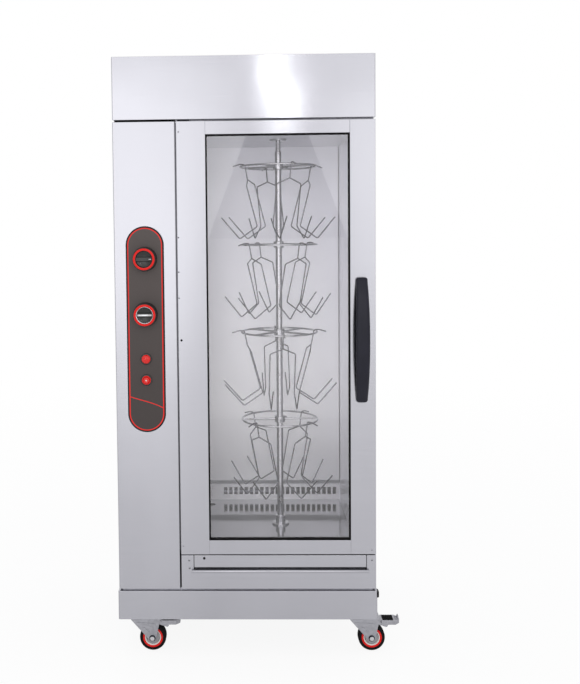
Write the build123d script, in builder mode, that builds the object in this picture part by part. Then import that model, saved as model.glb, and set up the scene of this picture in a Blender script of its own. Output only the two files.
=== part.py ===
"""Vertical rotisserie: a tall glazed roasting cabinet with a hanging rotor, a drip drawer and casters.

Millimetres. +Z is up, the front faces -Y, and the origin is on the floor under the cabinet's middle.
"""
from build123d import *
from math import cos, radians, sin, tan
import os

os.makedirs("parts", exist_ok=True)

# Cabinet heights, from the floor up
caster_height = 118.0
plinth_height = 88.0
shadow_gap = 6.0
lower_rail_height = 103.0
sill_gap = 3.0
door_height = 1305.0
header_height = 186.0

# Cabinet plan and sheet metal
cabinet_width = 780.0
cabinet_depth = 600.0
column_width = 186.5
front_zone = 42.0
plinth_overhang = 3.0
neck_inset = 10.0
sheet = 2.0
bend_radius = 3.0
flange_width = 18.0

# Flats on round pieces
pin_sides = 8
tube_sides = 16
hex_sides = 6
cheek_sides = 8
ring_sides = 18
wheel_sides = 16
knob_sides = 16

# Running clearances
run_fit = 0.05
slip_gap = 0.3
seal_gap = 0.6

# Door
door_gap = 4.0
edge_reveal = 0.5
door_thickness = 36.0
left_stile_width = 85.5
right_stile_width = 75.5
top_rail_height = 39.0
bottom_rail_height = 43.0
end_block = 32.0
vent_diameter = 8.0
glass_thickness = 5.0
glass_setback = 9.0
gasket_lip = 4.5
gasket_wrap = 3.0
seal_inset = 9.0
seal_width = 11.0
pivot_inset_x = 5.5
pivot_inset_y = 6.5
pivot_diameter = 6.0
pivot_length = 24.0
pivot_plate_length = 34.0
pivot_plate_depth = 30.0
pivot_plate_inset = 2.0
pivot_plate = 2.4

# Door handle
handle_length = 370.0
handle_width = 41.0
handle_reach = 45.0
handle_thickness = 16.0
handle_edge_radius = 5.0
handle_place_shares = (0.0, 0.05, 0.1, 0.2, 0.35, 0.5, 0.65, 0.8, 0.9, 0.95, 1.0)
handle_width_shares = (0.8, 0.85, 0.88, 0.93, 0.98, 1.0, 0.98, 0.93, 0.88, 0.85, 0.8)
handle_edge_inset = 42.5
handle_rise = 651.0

# Chamber
left_wall_inset = 17.5
right_wall_inset = 50.0
back_wall_inset = 60.0
floor_drop = 1.0
ceiling_drop = 26.0
frame_left_inset = 46.0
frame_sill = 28.0
baffle_standoff = 12.0
baffle_side_gap = 2.0
baffle_floor_gap = 57.0
baffle_lip = 18.0
vent_slot_width = 12.0
vent_slot_height = 26.0
vent_pitch_share = 0.0394
vent_slot_count = 22
vent_slot_rise = 32.0
vent_slot_side = 18.0
drain_diameter = 30.0
drain_inset = 60.0

# Heaters and insulation
trough_depth = 12.0
trough_width = 96.0
trough_pitch = 142.0
trough_count = 3
element_diameter = 8.5
element_sides = 8
element_bend = 16.0
element_spacing = 56.0
element_standoff = 20.0
element_floor_gap = 40.0
element_stub = 26.0
element_hole_gap = 0.25
insulation_left = 32.0
insulation_floor_gap = 75.0

# Rotor
rotor_right_offset = 14.0
rotor_front_offset = 12.0
tube_diameter = 21.0
tube_bore = 16.0
tube_top_drop = 39.0
spindle_overlap = 60.0
spindle_drive = 26.0
bearing_flange_diameter = 56.0
bearing_flange = 6.0
bush_diameter = 26.0
socket_diameter = 32.0
socket_height = 24.0
socket_floor = 3.0
ring_radius_share = 0.26
ring_wire = 6.0
ring_chamfer_share = 0.29
hub_diameter = 34.0
hub_height = 22.0
set_screw_diameter = 6.0
set_screw_length = 17.0
set_screw_head = 11.0
set_screw_head_length = 5.0
tier_height_shares = (0.9305, 0.7305, 0.5047, 0.2773)
tier_angles = (18.0, 32.0, 4.0, 48.0)
spokes_per_ring = 4
forks_per_ring = 4

# Wire forks, measured from the ring they hang on
fork_wire = 4.0
fork_sides = 5
hook_tail = 23.0
hook_tail_drop = 7.0
hook_half_width = 8.5
stem_drop_share = 0.0383
stem_lean = 10.0
shoulder_drop_share = 0.0141
shoulder_lean = 10.0
leg_half_spacing = 41.0
leg_drop_share = 0.1047
leg_lean_share = 0.29
foot_reach_share = 0.49
foot_drop_share = 0.032
prong_reach_share = 0.5
prong_rise_share = 0.0547
wire_bend = 5.0

# Drive in the header
bracket_height = 40.0
bracket_sheet = 3.0
bracket_length = 150.0
bracket_depth = 96.0
bracket_foot = 20.0
gearbox_length = 110.0
gearbox_depth = 84.0
gearbox_height = 70.0
gearbox_radius = 8.0
motor_diameter = 62.0
motor_length = 92.0
motor_cowl_diameter = 54.0
motor_cowl_length = 22.0

# Lower rail and drip drawer
drawer_left_margin = 37.5
drawer_right_margin = 28.0
drawer_side_gap = 1.5
rail_strip = 34.0
drawer_lip_gap = 2.0
lip_height = 23.0
finger_gap = 7.0
channel_depth = 16.0
lip_proud = 8.0
lip_side_lap = 6.0
pan_side_gap = 3.5
pan_depth = 482.0
pan_height = 40.0
pan_ceiling_gap = 7.0
runner_side_gap = 1.5
runner_ledge = 14.0
runner_foot = 20.0

# Controls
control_centre_inset = 92.5
plate_width = 114.0
plate_height = 620.0
plate_thickness = 2.5
plate_rise = 792.0
upper_knob_rise = 212.0
knob_pitch = 166.0
lamp_pitch = 134.0
button_pitch = 63.5
knob_diameter = 74.0
knob_taper = 6.65
knob_depth = 30.0
knob_gap = 1.0
knob_dish_diameter = 51.0
knob_dish_depth = 7.0
knob_bar_width = 15.0
knob_bar_drop = 1.0
knob_ring_depth = 3.0
knob_ring_wall = 1.0
stem_diameter = 6.0
stem_bite = 16.0
stem_depth = 26.0
stem_bush_diameter = 11.0
control_body_width = 58.0
control_body_height = 62.0
control_body_depth = 34.0
pilot_bezel_diameter = 30.0
pilot_bezel_depth = 4.0
pilot_barrel_diameter = 22.0
pilot_barrel_depth = 34.0
pilot_lens_diameter = 24.0
pilot_lens_rise = 8.0
button_diameter = 19.0
button_proud = 8.0
button_travel = 3.0
button_well = 12.0
button_crown = 3.0
dome_rise_share = 0.7
dome_width_share = 0.2

# Back panel
louvre_width = 190.0
louvre_height = 7.0
louvre_pitch = 18.0
louvre_rows = 5
louvre_low_centre_height = 330.0
gland_height = 290.0
gland_inset = 110.0
gland_diameter = 25.0
gland_hex = 33.0
gland_hex_depth = 6.0
gland_nut_diameter = 29.0
gland_nut_depth = 17.0
gland_cable_diameter = 13.0

# Casters
caster_inset_x = 52.0
caster_inset_y = 55.0
caster_plate_length = 92.0
caster_plate_width = 72.0
caster_plate = 3.5
caster_gusset = 4.0
gusset_reach = 112.0
wheel_diameter = 82.0
wheel_width = 30.0
tread_depth = 9.0
tread_chamfer = 4.0
core_recess = 5.0
core_hub_diameter = 26.0
axle_diameter = 9.0
axle_head_diameter = 16.0
axle_head = 5.0
caster_trail = 44.0
yoke_side_gap = 2.0
yoke_sheet = 2.6
yoke_front = 22.0
yoke_rear = 68.0
yoke_head = 9.0
yoke_cup_diameter = 46.0
yoke_cup_height = 8.0
cheek_end_radius = 11.0
kingpin_diameter = 12.0
pedal_pin_diameter = 5.0
pedal_pin_drop = 10.0
pedal_pin_setback = 47.0
pedal_thickness = 3.0
pedal_barrel_diameter = 10.0
pedal_side_gap = 1.5
pedal_width = 42.0
pedal_arm = 26.0
pedal_reach = 82.0
pedal_lip = 12.0
pedal_nose = 13.0

# Levels and planes worked out from the sizes above
z_plinth = caster_height
z_plinth_top = z_plinth + plinth_height
z_body = z_plinth_top + shadow_gap
z_rail_top = z_body + lower_rail_height
z_door = z_rail_top + sill_gap
z_door_top = z_door + door_height
z_header = z_door_top + shadow_gap
z_top = z_header + header_height
z_floor = z_door - floor_drop
z_ceiling = z_door_top - ceiling_drop
x_left = -cabinet_width / 2
x_right = cabinet_width / 2
y_front = -cabinet_depth / 2
y_back = cabinet_depth / 2
y_face = y_front + front_zone
y_chamber = y_face + sheet
x_column = x_left + column_width
x_door = x_column + door_gap
x_door_end = x_right - edge_reveal
y_door_back = y_front + door_thickness
x_glass = x_door + left_stile_width
x_glass_end = x_door_end - right_stile_width
z_glass = z_door + bottom_rail_height
z_glass_top = z_door_top - top_rail_height
x_control = x_left + control_centre_inset
y_plate = y_front - plate_thickness
chamber_left = x_column + left_wall_inset
chamber_right = x_right - right_wall_inset
chamber_back = y_back - back_wall_inset
chamber_height = z_ceiling - z_floor
frame_left = chamber_left + frame_left_inset
mouth_width = chamber_right - frame_left
rotor_x = (frame_left + chamber_right) / 2 + rotor_right_offset
rotor_y = (y_chamber + chamber_back) / 2 - rotor_front_offset
ring_radius = mouth_width * ring_radius_share
tier_heights = [z_floor + chamber_height * share for share in tier_height_shares]
handle_centre_x = x_door_end - handle_edge_inset
handle_centre_height = z_door + handle_rise
plate_centre_height = z_body + plate_rise
upper_knob_height = plate_centre_height + upper_knob_rise
lower_knob_height = upper_knob_height - knob_pitch
knob_heights = (upper_knob_height, lower_knob_height)
lamp_height = lower_knob_height - lamp_pitch
button_height = lamp_height - button_pitch


def block(x0, x1, y0, y1, z0, z1, mode=Mode.ADD):
    """Add a block that reaches from one corner to the other."""
    with Locations(((x0 + x1) / 2, (y0 + y1) / 2, (z0 + z1) / 2)):
        Box(x1 - x0, y1 - y0, z1 - z0, mode=mode)


def front_plane(x, y):
    """Plane that faces the front: across is +X, up is +Z, and its normal is -Y."""
    return Plane(origin=(x, y, 0), x_dir=(1, 0, 0), z_dir=(0, -1, 0))


def side_plane(x):
    """Plane that faces the right: across is +Y, up is +Z, and its normal is +X."""
    return Plane(origin=(x, 0, 0), x_dir=(0, 1, 0), z_dir=(1, 0, 0))


def round_outline(diameter, sides=pin_sides, mode=Mode.ADD):
    """Outline of a round piece as a polygon inside the circle, or of a hole as one outside it."""
    RegularPolygon(diameter / 2, sides, major_radius=mode is not Mode.SUBTRACT, mode=mode)


def bar(x, z, diameter, y0, y1, sides=pin_sides, mode=Mode.ADD):
    """Add or cut a round bar that lies along Y between two depths."""
    with BuildSketch(front_plane(x, y1)) as section:
        with Locations((0, z)):
            RegularPolygon(diameter / 2, sides, major_radius=mode is not Mode.SUBTRACT)
    extrude(section.sketch, amount=y1 - y0, mode=mode)


def post(x, y, diameter, z0, z1, sides=pin_sides, mode=Mode.ADD):
    """Add or cut a round post that stands along Z between two heights."""
    with BuildSketch(Plane.XY.offset(z0)) as section:
        with Locations((x, y)):
            RegularPolygon(diameter / 2, sides, major_radius=mode is not Mode.SUBTRACT)
    extrude(section.sketch, amount=z1 - z0, mode=mode)


def save(name, *solids):
    """Write one node, made of one solid or of a group of separate solids."""
    piece = solids[0] if len(solids) == 1 else Compound(children=list(solids))
    piece.label = name
    export_step(piece, f"parts/{name}.step")


# Plinth: a folded tray, open below, with a stepped neck and gusset plates for the casters
with BuildPart() as plinth:
    block(
        x_left - plinth_overhang, x_right + plinth_overhang,
        y_front - plinth_overhang, y_back + plinth_overhang, z_plinth, z_plinth_top,
    )
    chamfer(plinth.edges().filter_by(Axis.Z), bend_radius)
    block(
        x_left + neck_inset, x_right - neck_inset,
        y_front + neck_inset, y_back - neck_inset, z_plinth_top, z_body,
    )
    offset(amount=-sheet, openings=plinth.faces().sort_by(Axis.Z)[0], kind=Kind.INTERSECTION)
    for side_x in (-1, 1):
        for side_y in (-1, 1):
            corner_x = side_x * (x_right + plinth_overhang - sheet)
            corner_y = side_y * (y_back + plinth_overhang - sheet)
            reach_x = corner_x - side_x * gusset_reach
            reach_y = corner_y - side_y * gusset_reach
            block(
                min(corner_x, reach_x), max(corner_x, reach_x), min(corner_y, reach_y), max(corner_y, reach_y),
                z_plinth, z_plinth + caster_gusset,
            )
save("plinth", plinth.part)

# Front cover of the control column: a folded tray, open behind
with BuildPart() as control_column_cover:
    block(x_left, x_column, y_front, y_face, z_body, z_door_top)
    fillet(control_column_cover.edges().filter_by(Axis.Z).group_by(Axis.Y)[0], bend_radius)
    offset(amount=-sheet, openings=control_column_cover.faces().sort_by(Axis.Y)[-1], kind=Kind.INTERSECTION)
    for height in knob_heights:
        bar(x_control, height, stem_bush_diameter, y_front, y_front + sheet, mode=Mode.SUBTRACT)
    for height in (lamp_height, button_height):
        bar(x_control, height, pilot_barrel_diameter, y_front, y_front + sheet, mode=Mode.SUBTRACT)
save("control_column_cover", control_column_cover.part)

# Header cap: front fascia with folded returns, and the top in the same sheet
with BuildPart() as header_cap:
    block(x_left, x_right, y_front, y_face, z_header, z_top)
    fillet(header_cap.edges().filter_by(Axis.Z).group_by(Axis.Y)[0], bend_radius)
    offset(amount=-sheet, openings=header_cap.faces().sort_by(Axis.Y)[-1], kind=Kind.INTERSECTION)
    block(x_left, x_right, y_face, y_back, z_top - sheet, z_top)
save("header_cap", header_cap.part)


def side_panel(name, side):
    """One outer side, with a return at the back and one along the bottom."""
    outer = side * x_right
    inner = outer - side * flange_width
    with BuildPart() as panel:
        block(min(outer, inner), max(outer, inner), y_face, y_back - sheet, z_body, z_top - sheet)
        by_x = panel.faces().sort_by(Axis.X)
        inward = by_x[0] if side > 0 else by_x[-1]
        front = panel.faces().sort_by(Axis.Y)[0]
        top = panel.faces().sort_by(Axis.Z)[-1]
        offset(amount=-sheet, openings=[inward, front, top], kind=Kind.INTERSECTION)
    save(name, panel.part)


side_panel("left_side_panel", -1)
side_panel("right_side_panel", 1)

# Back panel with two fields of vent slots and the cable inlet
x_gland = x_left + gland_inset
louvre_high_centre = (z_header + z_top) / 2
with BuildPart() as back_panel:
    with BuildSketch(front_plane(0, y_back)):
        with Locations((0, (z_body + z_top - sheet) / 2)):
            Rectangle(cabinet_width, z_top - sheet - z_body)
        with Locations((0, louvre_high_centre), (0, louvre_low_centre_height)):
            with GridLocations(louvre_width, louvre_pitch, 1, louvre_rows):
                Rectangle(louvre_width, louvre_height, mode=Mode.SUBTRACT)
        with Locations((x_gland, gland_height)):
            round_outline(gland_diameter, mode=Mode.SUBTRACT)
    extrude(amount=sheet)
save("back_panel", back_panel.part)

# Cable gland: hexagon flange and domed nut outside, lock nut inside
with BuildPart() as cable_gland:
    with BuildSketch(front_plane(x_gland, y_back)):
        with Locations((0, gland_height)):
            RegularPolygon(gland_hex / 2, hex_sides)
    extrude(amount=-gland_hex_depth)
    bar(x_gland, gland_height, gland_nut_diameter, y_back + gland_hex_depth, y_back + gland_hex_depth + gland_nut_depth)
    chamfer(cable_gland.edges().group_by(Axis.Y)[-1], bend_radius)
    bar(x_gland, gland_height, gland_diameter, y_back - sheet, y_back)
    with BuildSketch(front_plane(x_gland, y_back - sheet)):
        with Locations((0, gland_height)):
            RegularPolygon(gland_hex / 2, hex_sides)
    extrude(amount=gland_hex_depth)
    bar(
        x_gland, gland_height, gland_cable_diameter,
        y_back - sheet - gland_hex_depth, y_back + gland_hex_depth + gland_nut_depth, mode=Mode.SUBTRACT,
    )
save("cable_gland", cable_gland.part)

# Front frame that the door closes against
x_frame = x_column - sheet
x_frame_end = x_right - sheet
z_frame = z_floor - sheet
z_frame_top = z_header + flange_width
z_frame_sill = z_floor + frame_sill
with BuildPart() as front_frame:
    with BuildSketch(front_plane(0, y_face)):
        with Locations(((x_frame + x_frame_end) / 2, (z_frame + z_frame_top) / 2)):
            Rectangle(x_frame_end - x_frame, z_frame_top - z_frame)
        with Locations(((frame_left + chamber_right) / 2, (z_frame_sill + z_ceiling) / 2)):
            Rectangle(chamber_right - frame_left, z_ceiling - z_frame_sill, mode=Mode.SUBTRACT)
    extrude(amount=-sheet)
save("front_frame", front_frame.part)

# Chamber liner: back with a row of slots, right wall, ceiling and floor
vent_slot_pitch = mouth_width * vent_pitch_share
x_slots = chamber_right - vent_slot_side - (vent_slot_count - 1) * vent_slot_pitch / 2
with BuildPart() as chamber_back_wall:
    with BuildSketch(front_plane(0, chamber_back)):
        with Locations(((chamber_left + chamber_right + sheet) / 2, (z_floor + z_ceiling) / 2)):
            Rectangle(chamber_right + sheet - chamber_left, z_ceiling - z_floor + 2 * sheet)
        with Locations((x_slots, z_floor + vent_slot_rise)):
            with GridLocations(vent_slot_pitch, vent_slot_height, vent_slot_count, 1):
                Rectangle(vent_slot_width, vent_slot_height, mode=Mode.SUBTRACT)
    extrude(amount=-sheet)
save("chamber_back_wall", chamber_back_wall.part)

with BuildPart() as chamber_right_wall:
    block(chamber_right, chamber_right + sheet, y_chamber, chamber_back, z_floor - sheet, z_ceiling + sheet)
save("chamber_right_wall", chamber_right_wall.part)

x_elements = chamber_left + element_standoff
trough_middle = (y_chamber + chamber_back) / 2
trough_places = [trough_middle + (i - (trough_count - 1) / 2) * trough_pitch for i in range(trough_count)]
element_legs = [(x_elements, y + side * element_spacing / 2) for y in trough_places for side in (-1, 1)]
with BuildPart() as chamber_ceiling:
    block(chamber_left, chamber_right, y_chamber, chamber_back, z_ceiling, z_ceiling + sheet)
    post(rotor_x, rotor_y, bush_diameter, z_ceiling, z_ceiling + sheet, mode=Mode.SUBTRACT)
    for leg_x, leg_y in element_legs:
        post(
            leg_x, leg_y, element_diameter + 2 * element_hole_gap,
            z_ceiling, z_ceiling + sheet, sides=element_sides, mode=Mode.SUBTRACT,
        )
save("chamber_ceiling", chamber_ceiling.part)

with BuildPart() as chamber_floor:
    block(chamber_left, chamber_right, y_chamber, chamber_back, z_floor - sheet, z_floor)
    post(
        chamber_left + drain_inset, chamber_back - drain_inset, drain_diameter,
        z_floor - sheet, z_floor, mode=Mode.SUBTRACT,
    )
save("chamber_floor", chamber_floor.part)


def trough_outline(lift):
    """Plan of the reflector's face, bent into shallow troughs, shifted to the left by the sheet."""
    points = [(chamber_left - lift, y_chamber)]
    for y in trough_places:
        points.append((chamber_left - lift, y - trough_width / 2))
        points.append((chamber_left - lift - trough_depth, y - trough_width / 4))
        points.append((chamber_left - lift - trough_depth, y + trough_width / 4))
        points.append((chamber_left - lift, y + trough_width / 2))
    points.append((chamber_left - lift, chamber_back))
    return points


# Reflector behind the heating elements, which is the chamber's left wall
with BuildPart() as heater_reflector:
    with BuildSketch(Plane.XY.offset(z_floor - sheet)):
        with BuildLine():
            Polyline(*trough_outline(0), *reversed(trough_outline(sheet)), close=True)
        make_face()
    extrude(amount=z_ceiling - z_floor + 2 * sheet)
save("heater_reflector", heater_reflector.part)


def bent_rod(points, diameter, sides, bends):
    """Sweep a rod along straight runs; a corner with a bend length is eased by one short run."""
    eased = [points[0]]
    for before, corner, after, bend in zip(points, points[1:], points[2:], bends):
        if bend:
            eased.append(corner + (before - corner).normalized() * bend)
            eased.append(corner + (after - corner).normalized() * bend)
        else:
            eased.append(corner)
    eased.append(points[-1])
    with BuildLine() as path:
        Polyline(*eased)
    start = Plane(origin=eased[0], z_dir=(eased[1] - eased[0]).normalized())
    with BuildSketch(start) as section:
        RegularPolygon(diameter / 2, sides)
    sweep(section.sketch, path=path.line, transition=Transition.RIGHT)


def heating_element(y):
    """One hairpin element that hangs from the ceiling in front of its trough."""
    low = z_floor + element_floor_gap
    high = z_ceiling + element_stub
    near = y - element_spacing / 2
    far = y + element_spacing / 2
    corners = [(near, high), (near, low), (far, low), (far, high)]
    with BuildPart() as element:
        bent_rod(
            [Vector(x_elements, y, z) for y, z in corners], element_diameter, element_sides,
            [element_bend, element_bend],
        )
    return element.part


save("heating_elements", *[heating_element(y) for y in trough_places])

# Baffle in front of the back wall, with a lip folded back at its foot
y_baffle = chamber_back - baffle_standoff - sheet
z_baffle = z_floor + baffle_floor_gap
with BuildPart() as back_baffle:
    with BuildSketch(side_plane(frame_left)):
        with BuildLine():
            Polyline(
                (y_baffle, z_ceiling), (y_baffle, z_baffle + baffle_lip), (chamber_back, z_baffle),
                (chamber_back, z_baffle + sheet), (y_baffle + sheet, z_baffle + baffle_lip + sheet),
                (y_baffle + sheet, z_ceiling), close=True,
            )
        make_face()
    extrude(amount=chamber_right - baffle_side_gap - frame_left)
save("back_baffle", back_baffle.part)

# Insulation slabs between the liner and the outer panels
with BuildPart() as insulation_right:
    block(chamber_right + sheet, x_right - sheet, y_chamber, chamber_back, z_floor, z_ceiling)
with BuildPart() as insulation_back:
    block(
        chamber_left, chamber_right, chamber_back + sheet, y_back - sheet,
        z_floor + insulation_floor_gap, z_ceiling,
    )
x_insulation = chamber_left - sheet - trough_depth
with BuildPart() as insulation_side:
    block(x_insulation - insulation_left, x_insulation, y_chamber, chamber_back, z_floor, z_ceiling)
save("insulation", insulation_right.part, insulation_back.part, insulation_side.part)

# Rotor bearings: a flanged bush in the ceiling and a socket on the floor
with BuildPart() as top_bearing:
    post(rotor_x, rotor_y, bearing_flange_diameter, z_ceiling - bearing_flange, z_ceiling, sides=tube_sides)
    post(rotor_x, rotor_y, bush_diameter, z_ceiling, z_ceiling + sheet + bearing_flange)
    post(
        rotor_x, rotor_y, tube_bore + 2 * run_fit, z_ceiling - bearing_flange,
        z_ceiling + sheet + bearing_flange, mode=Mode.SUBTRACT,
    )
with BuildPart() as floor_bearing:
    z_socket = z_floor + bearing_flange
    post(rotor_x, rotor_y, bearing_flange_diameter, z_floor, z_socket, sides=tube_sides)
    post(rotor_x, rotor_y, socket_diameter, z_socket, z_socket + socket_height, sides=tube_sides)
    post(
        rotor_x, rotor_y, tube_diameter + 2 * run_fit, z_floor + socket_floor,
        z_floor + bearing_flange + socket_height, mode=Mode.SUBTRACT,
    )
save("rotor_bearings", top_bearing.part, floor_bearing.part)

# Gear motor on its bracket, above the ceiling
z_bracket = z_ceiling + sheet
z_gearbox = z_bracket + bracket_height
z_spindle_top = z_gearbox + spindle_drive
with BuildPart() as motor_bracket:
    with BuildSketch(Plane(origin=(rotor_x, rotor_y, z_bracket), x_dir=(1, 0, 0), z_dir=(0, -1, 0))):
        with BuildLine():
            half = bracket_length / 2
            Polyline(
                (-half - bracket_foot, 0), (-half, 0), (-half, bracket_height - bracket_sheet),
                (half, bracket_height - bracket_sheet), (half, 0), (half + bracket_foot, 0),
                (half + bracket_foot, bracket_sheet), (half + bracket_sheet, bracket_sheet),
                (half + bracket_sheet, bracket_height), (-half - bracket_sheet, bracket_height),
                (-half - bracket_sheet, bracket_sheet), (-half - bracket_foot, bracket_sheet), close=True,
            )
        make_face()
    extrude(amount=bracket_depth / 2, both=True)
    post(
        rotor_x, rotor_y, tube_bore + 2 * bracket_sheet, z_gearbox - bracket_sheet, z_gearbox, mode=Mode.SUBTRACT,
    )
with BuildPart() as gear_motor:
    block(
        rotor_x - gearbox_length / 2, rotor_x + gearbox_length / 2, rotor_y - gearbox_depth / 2,
        rotor_y + gearbox_depth / 2, z_gearbox, z_gearbox + gearbox_height,
    )
    chamfer(gear_motor.edges().filter_by(Axis.Z), gearbox_radius)
    x_motor = rotor_x - gearbox_length / 2
    z_motor = z_gearbox + gearbox_height / 2
    with BuildSketch(side_plane(x_motor)):
        with Locations((rotor_y, z_motor)):
            round_outline(motor_diameter, tube_sides)
    extrude(amount=-motor_length)
    with BuildSketch(side_plane(x_motor - motor_length)):
        with Locations((rotor_y, z_motor)):
            round_outline(motor_cowl_diameter, tube_sides)
    extrude(amount=-motor_cowl_length)
    post(rotor_x, rotor_y, tube_bore + 2 * run_fit, z_gearbox, z_spindle_top + slip_gap, mode=Mode.SUBTRACT)
save("gear_motor", gear_motor.part, motor_bracket.part)

# Rotor tube with the drive spindle in its upper end
z_tube = z_floor + socket_floor + slip_gap
z_tube_top = z_ceiling - tube_top_drop
with BuildPart() as rotor_tube:
    post(rotor_x, rotor_y, tube_diameter, z_tube, z_tube_top)
    post(rotor_x, rotor_y, tube_bore + 2 * run_fit, z_tube, z_tube_top, mode=Mode.SUBTRACT)
with BuildPart() as drive_spindle:
    post(rotor_x, rotor_y, tube_bore, z_tube_top - spindle_overlap, z_spindle_top)
save("rotor_shaft", rotor_tube.part, drive_spindle.part)


def tier_ring(name, height, angle):
    """One ring with its spokes and hub, and the set screw that holds the hub on the tube."""
    wire_radius = ring_wire / 2
    with BuildPart() as ring:
        with BuildSketch(Plane.XY.offset(height - wire_radius)):
            with Locations((rotor_x, rotor_y)):
                RegularPolygon(ring_radius + wire_radius, ring_sides)
                RegularPolygon(ring_radius - wire_radius, ring_sides, mode=Mode.SUBTRACT)
        extrude(amount=ring_wire)
        low_edges = ring.edges().group_by(Axis.Z)[0]
        high_edges = ring.edges().group_by(Axis.Z)[-1]
        chamfer(low_edges + high_edges, ring_wire * ring_chamfer_share)
        for turn in range(spokes_per_ring):
            heading = radians(angle + 360 / spokes_per_ring * (turn + 1 / 2))
            spoke_plane = Plane(origin=(rotor_x, rotor_y, height), z_dir=(cos(heading), sin(heading), 0))
            with BuildSketch(spoke_plane.offset(tube_diameter / 2 + wire_radius)):
                RegularPolygon(wire_radius, fork_sides)
            extrude(amount=ring_radius - tube_diameter / 2 - wire_radius)
        post(rotor_x, rotor_y, hub_diameter, height - hub_height / 2, height + hub_height / 2)
        post(
            rotor_x, rotor_y, tube_diameter + 2 * run_fit,
            height - hub_height / 2, height + hub_height / 2, mode=Mode.SUBTRACT,
        )
        screw_heading = radians(angle)
        screw_plane = Plane(origin=(rotor_x, rotor_y, height), z_dir=(cos(screw_heading), sin(screw_heading), 0))
        screw_seat = screw_plane.offset(tube_diameter / 2 + run_fit)
        with BuildSketch(screw_seat):
            RegularPolygon(set_screw_diameter / 2, hex_sides)
        extrude(amount=hub_diameter / 2, mode=Mode.SUBTRACT)
    with BuildPart() as set_screw:
        with BuildSketch(screw_seat):
            RegularPolygon(set_screw_diameter / 2, hex_sides)
        extrude(amount=set_screw_length)
        with BuildSketch(screw_seat.offset(set_screw_length)):
            RegularPolygon(set_screw_head / 2, hex_sides)
        extrude(amount=set_screw_head_length)
    save(name, ring.part, set_screw.part)


def hanging_fork(height, angle):
    """One wire fork: a hook over the ring, a stem, two legs, and a prong on each leg."""
    heading = radians(angle)

    def at(reach, across, rise):
        return Vector(
            rotor_x + reach * cos(heading) - across * sin(heading),
            rotor_y + reach * sin(heading) + across * cos(heading),
            height + rise,
        )

    hook_rise = ring_wire / 2 + fork_wire / 2 + slip_gap
    r_inside = ring_radius - hook_half_width
    r_stem = r_inside - stem_lean
    r_leg = r_stem - shoulder_lean
    r_knee = r_leg - ring_radius * leg_lean_share
    r_foot = r_knee + ring_radius * foot_reach_share
    r_tip = r_foot + ring_radius * prong_reach_share
    z_stem = hook_rise - chamber_height * stem_drop_share
    z_leg = z_stem - chamber_height * shoulder_drop_share
    z_knee = z_leg - chamber_height * leg_drop_share
    z_foot = z_knee - chamber_height * foot_drop_share
    z_tip = z_foot + chamber_height * prong_rise_share
    half_fork = [(r_leg, z_leg), (r_knee, z_knee), (r_foot, z_foot), (r_tip, z_tip)]
    left_side = [at(reach, -leg_half_spacing, rise) for reach, rise in reversed(half_fork)]
    right_side = [at(reach, leg_half_spacing, rise) for reach, rise in half_fork]
    with BuildPart() as fork:
        hook_and_stem = [
            at(ring_radius + hook_half_width + hook_tail, 0, hook_rise - hook_tail_drop),
            at(ring_radius + hook_half_width, 0, hook_rise), at(r_inside, 0, hook_rise),
            at(r_stem, 0, z_stem - fork_wire),
        ]
        bent_rod(hook_and_stem, fork_wire, fork_sides, [0, 0])
        bent_rod(
            left_side + [at(r_stem, 0, z_stem)] + right_side, fork_wire, fork_sides,
            [wire_bend, wire_bend, 0, 0, 0, wire_bend, wire_bend],
        )
    return fork.part


for tier, (height, angle) in enumerate(zip(tier_heights, tier_angles), start=1):
    tier_ring(f"tier_ring_{tier}", height, angle)
    fork_angles = [angle + 360 / forks_per_ring * turn for turn in range(forks_per_ring)]
    save(f"tier_forks_{tier}", *[hanging_fork(height, fork_angle) for fork_angle in fork_angles])

# Lower front rail: a folded tray with the drawer's opening cut from its top edge
x_drawer_hole = x_door + drawer_left_margin
x_drawer_hole_end = x_door_end - drawer_right_margin
z_drawer_hole = z_body + rail_strip
with BuildPart() as lower_front_rail:
    with BuildSketch(front_plane(0, y_front)):
        with Locations(((x_door + x_door_end) / 2, (z_body + z_rail_top) / 2)):
            Rectangle(x_door_end - x_door, lower_rail_height)
        with Locations(((x_drawer_hole + x_drawer_hole_end) / 2, (z_drawer_hole + z_rail_top) / 2)):
            Rectangle(x_drawer_hole_end - x_drawer_hole, z_rail_top - z_drawer_hole, mode=Mode.SUBTRACT)
    extrude(amount=-front_zone)
    offset(amount=-sheet, openings=lower_front_rail.faces().sort_by(Axis.Y)[-1], kind=Kind.INTERSECTION)
save("lower_front_rail", lower_front_rail.part)

# Drawer front: one folded sheet with a finger channel and a lip along its foot
x_drawer = x_drawer_hole + drawer_side_gap
x_drawer_end = x_drawer_hole_end - drawer_side_gap
z_lip = z_drawer_hole + drawer_lip_gap
z_lip_top = z_lip + lip_height
z_channel = z_lip_top + finger_gap
y_lip = y_front - lip_proud
y_channel = y_front + channel_depth
with BuildPart() as drawer_front:
    with BuildSketch(side_plane(x_drawer)):
        with BuildLine():
            Polyline(
                (y_front, z_rail_top), (y_front, z_channel), (y_channel, z_channel), (y_channel, z_lip + sheet),
                (y_lip + sheet, z_lip + sheet), (y_lip + sheet, z_lip_top), (y_lip, z_lip_top), (y_lip, z_lip),
                (y_channel + sheet, z_lip), (y_channel + sheet, z_channel + sheet),
                (y_front + sheet, z_channel + sheet), (y_front + sheet, z_rail_top), close=True,
            )
        make_face()
    extrude(amount=x_drawer_end - x_drawer)
    block(
        x_drawer_hole - lip_side_lap, x_drawer_hole_end + lip_side_lap, y_lip, y_lip + sheet, z_lip, z_lip_top,
    )
save("drawer_front", drawer_front.part)

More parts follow.
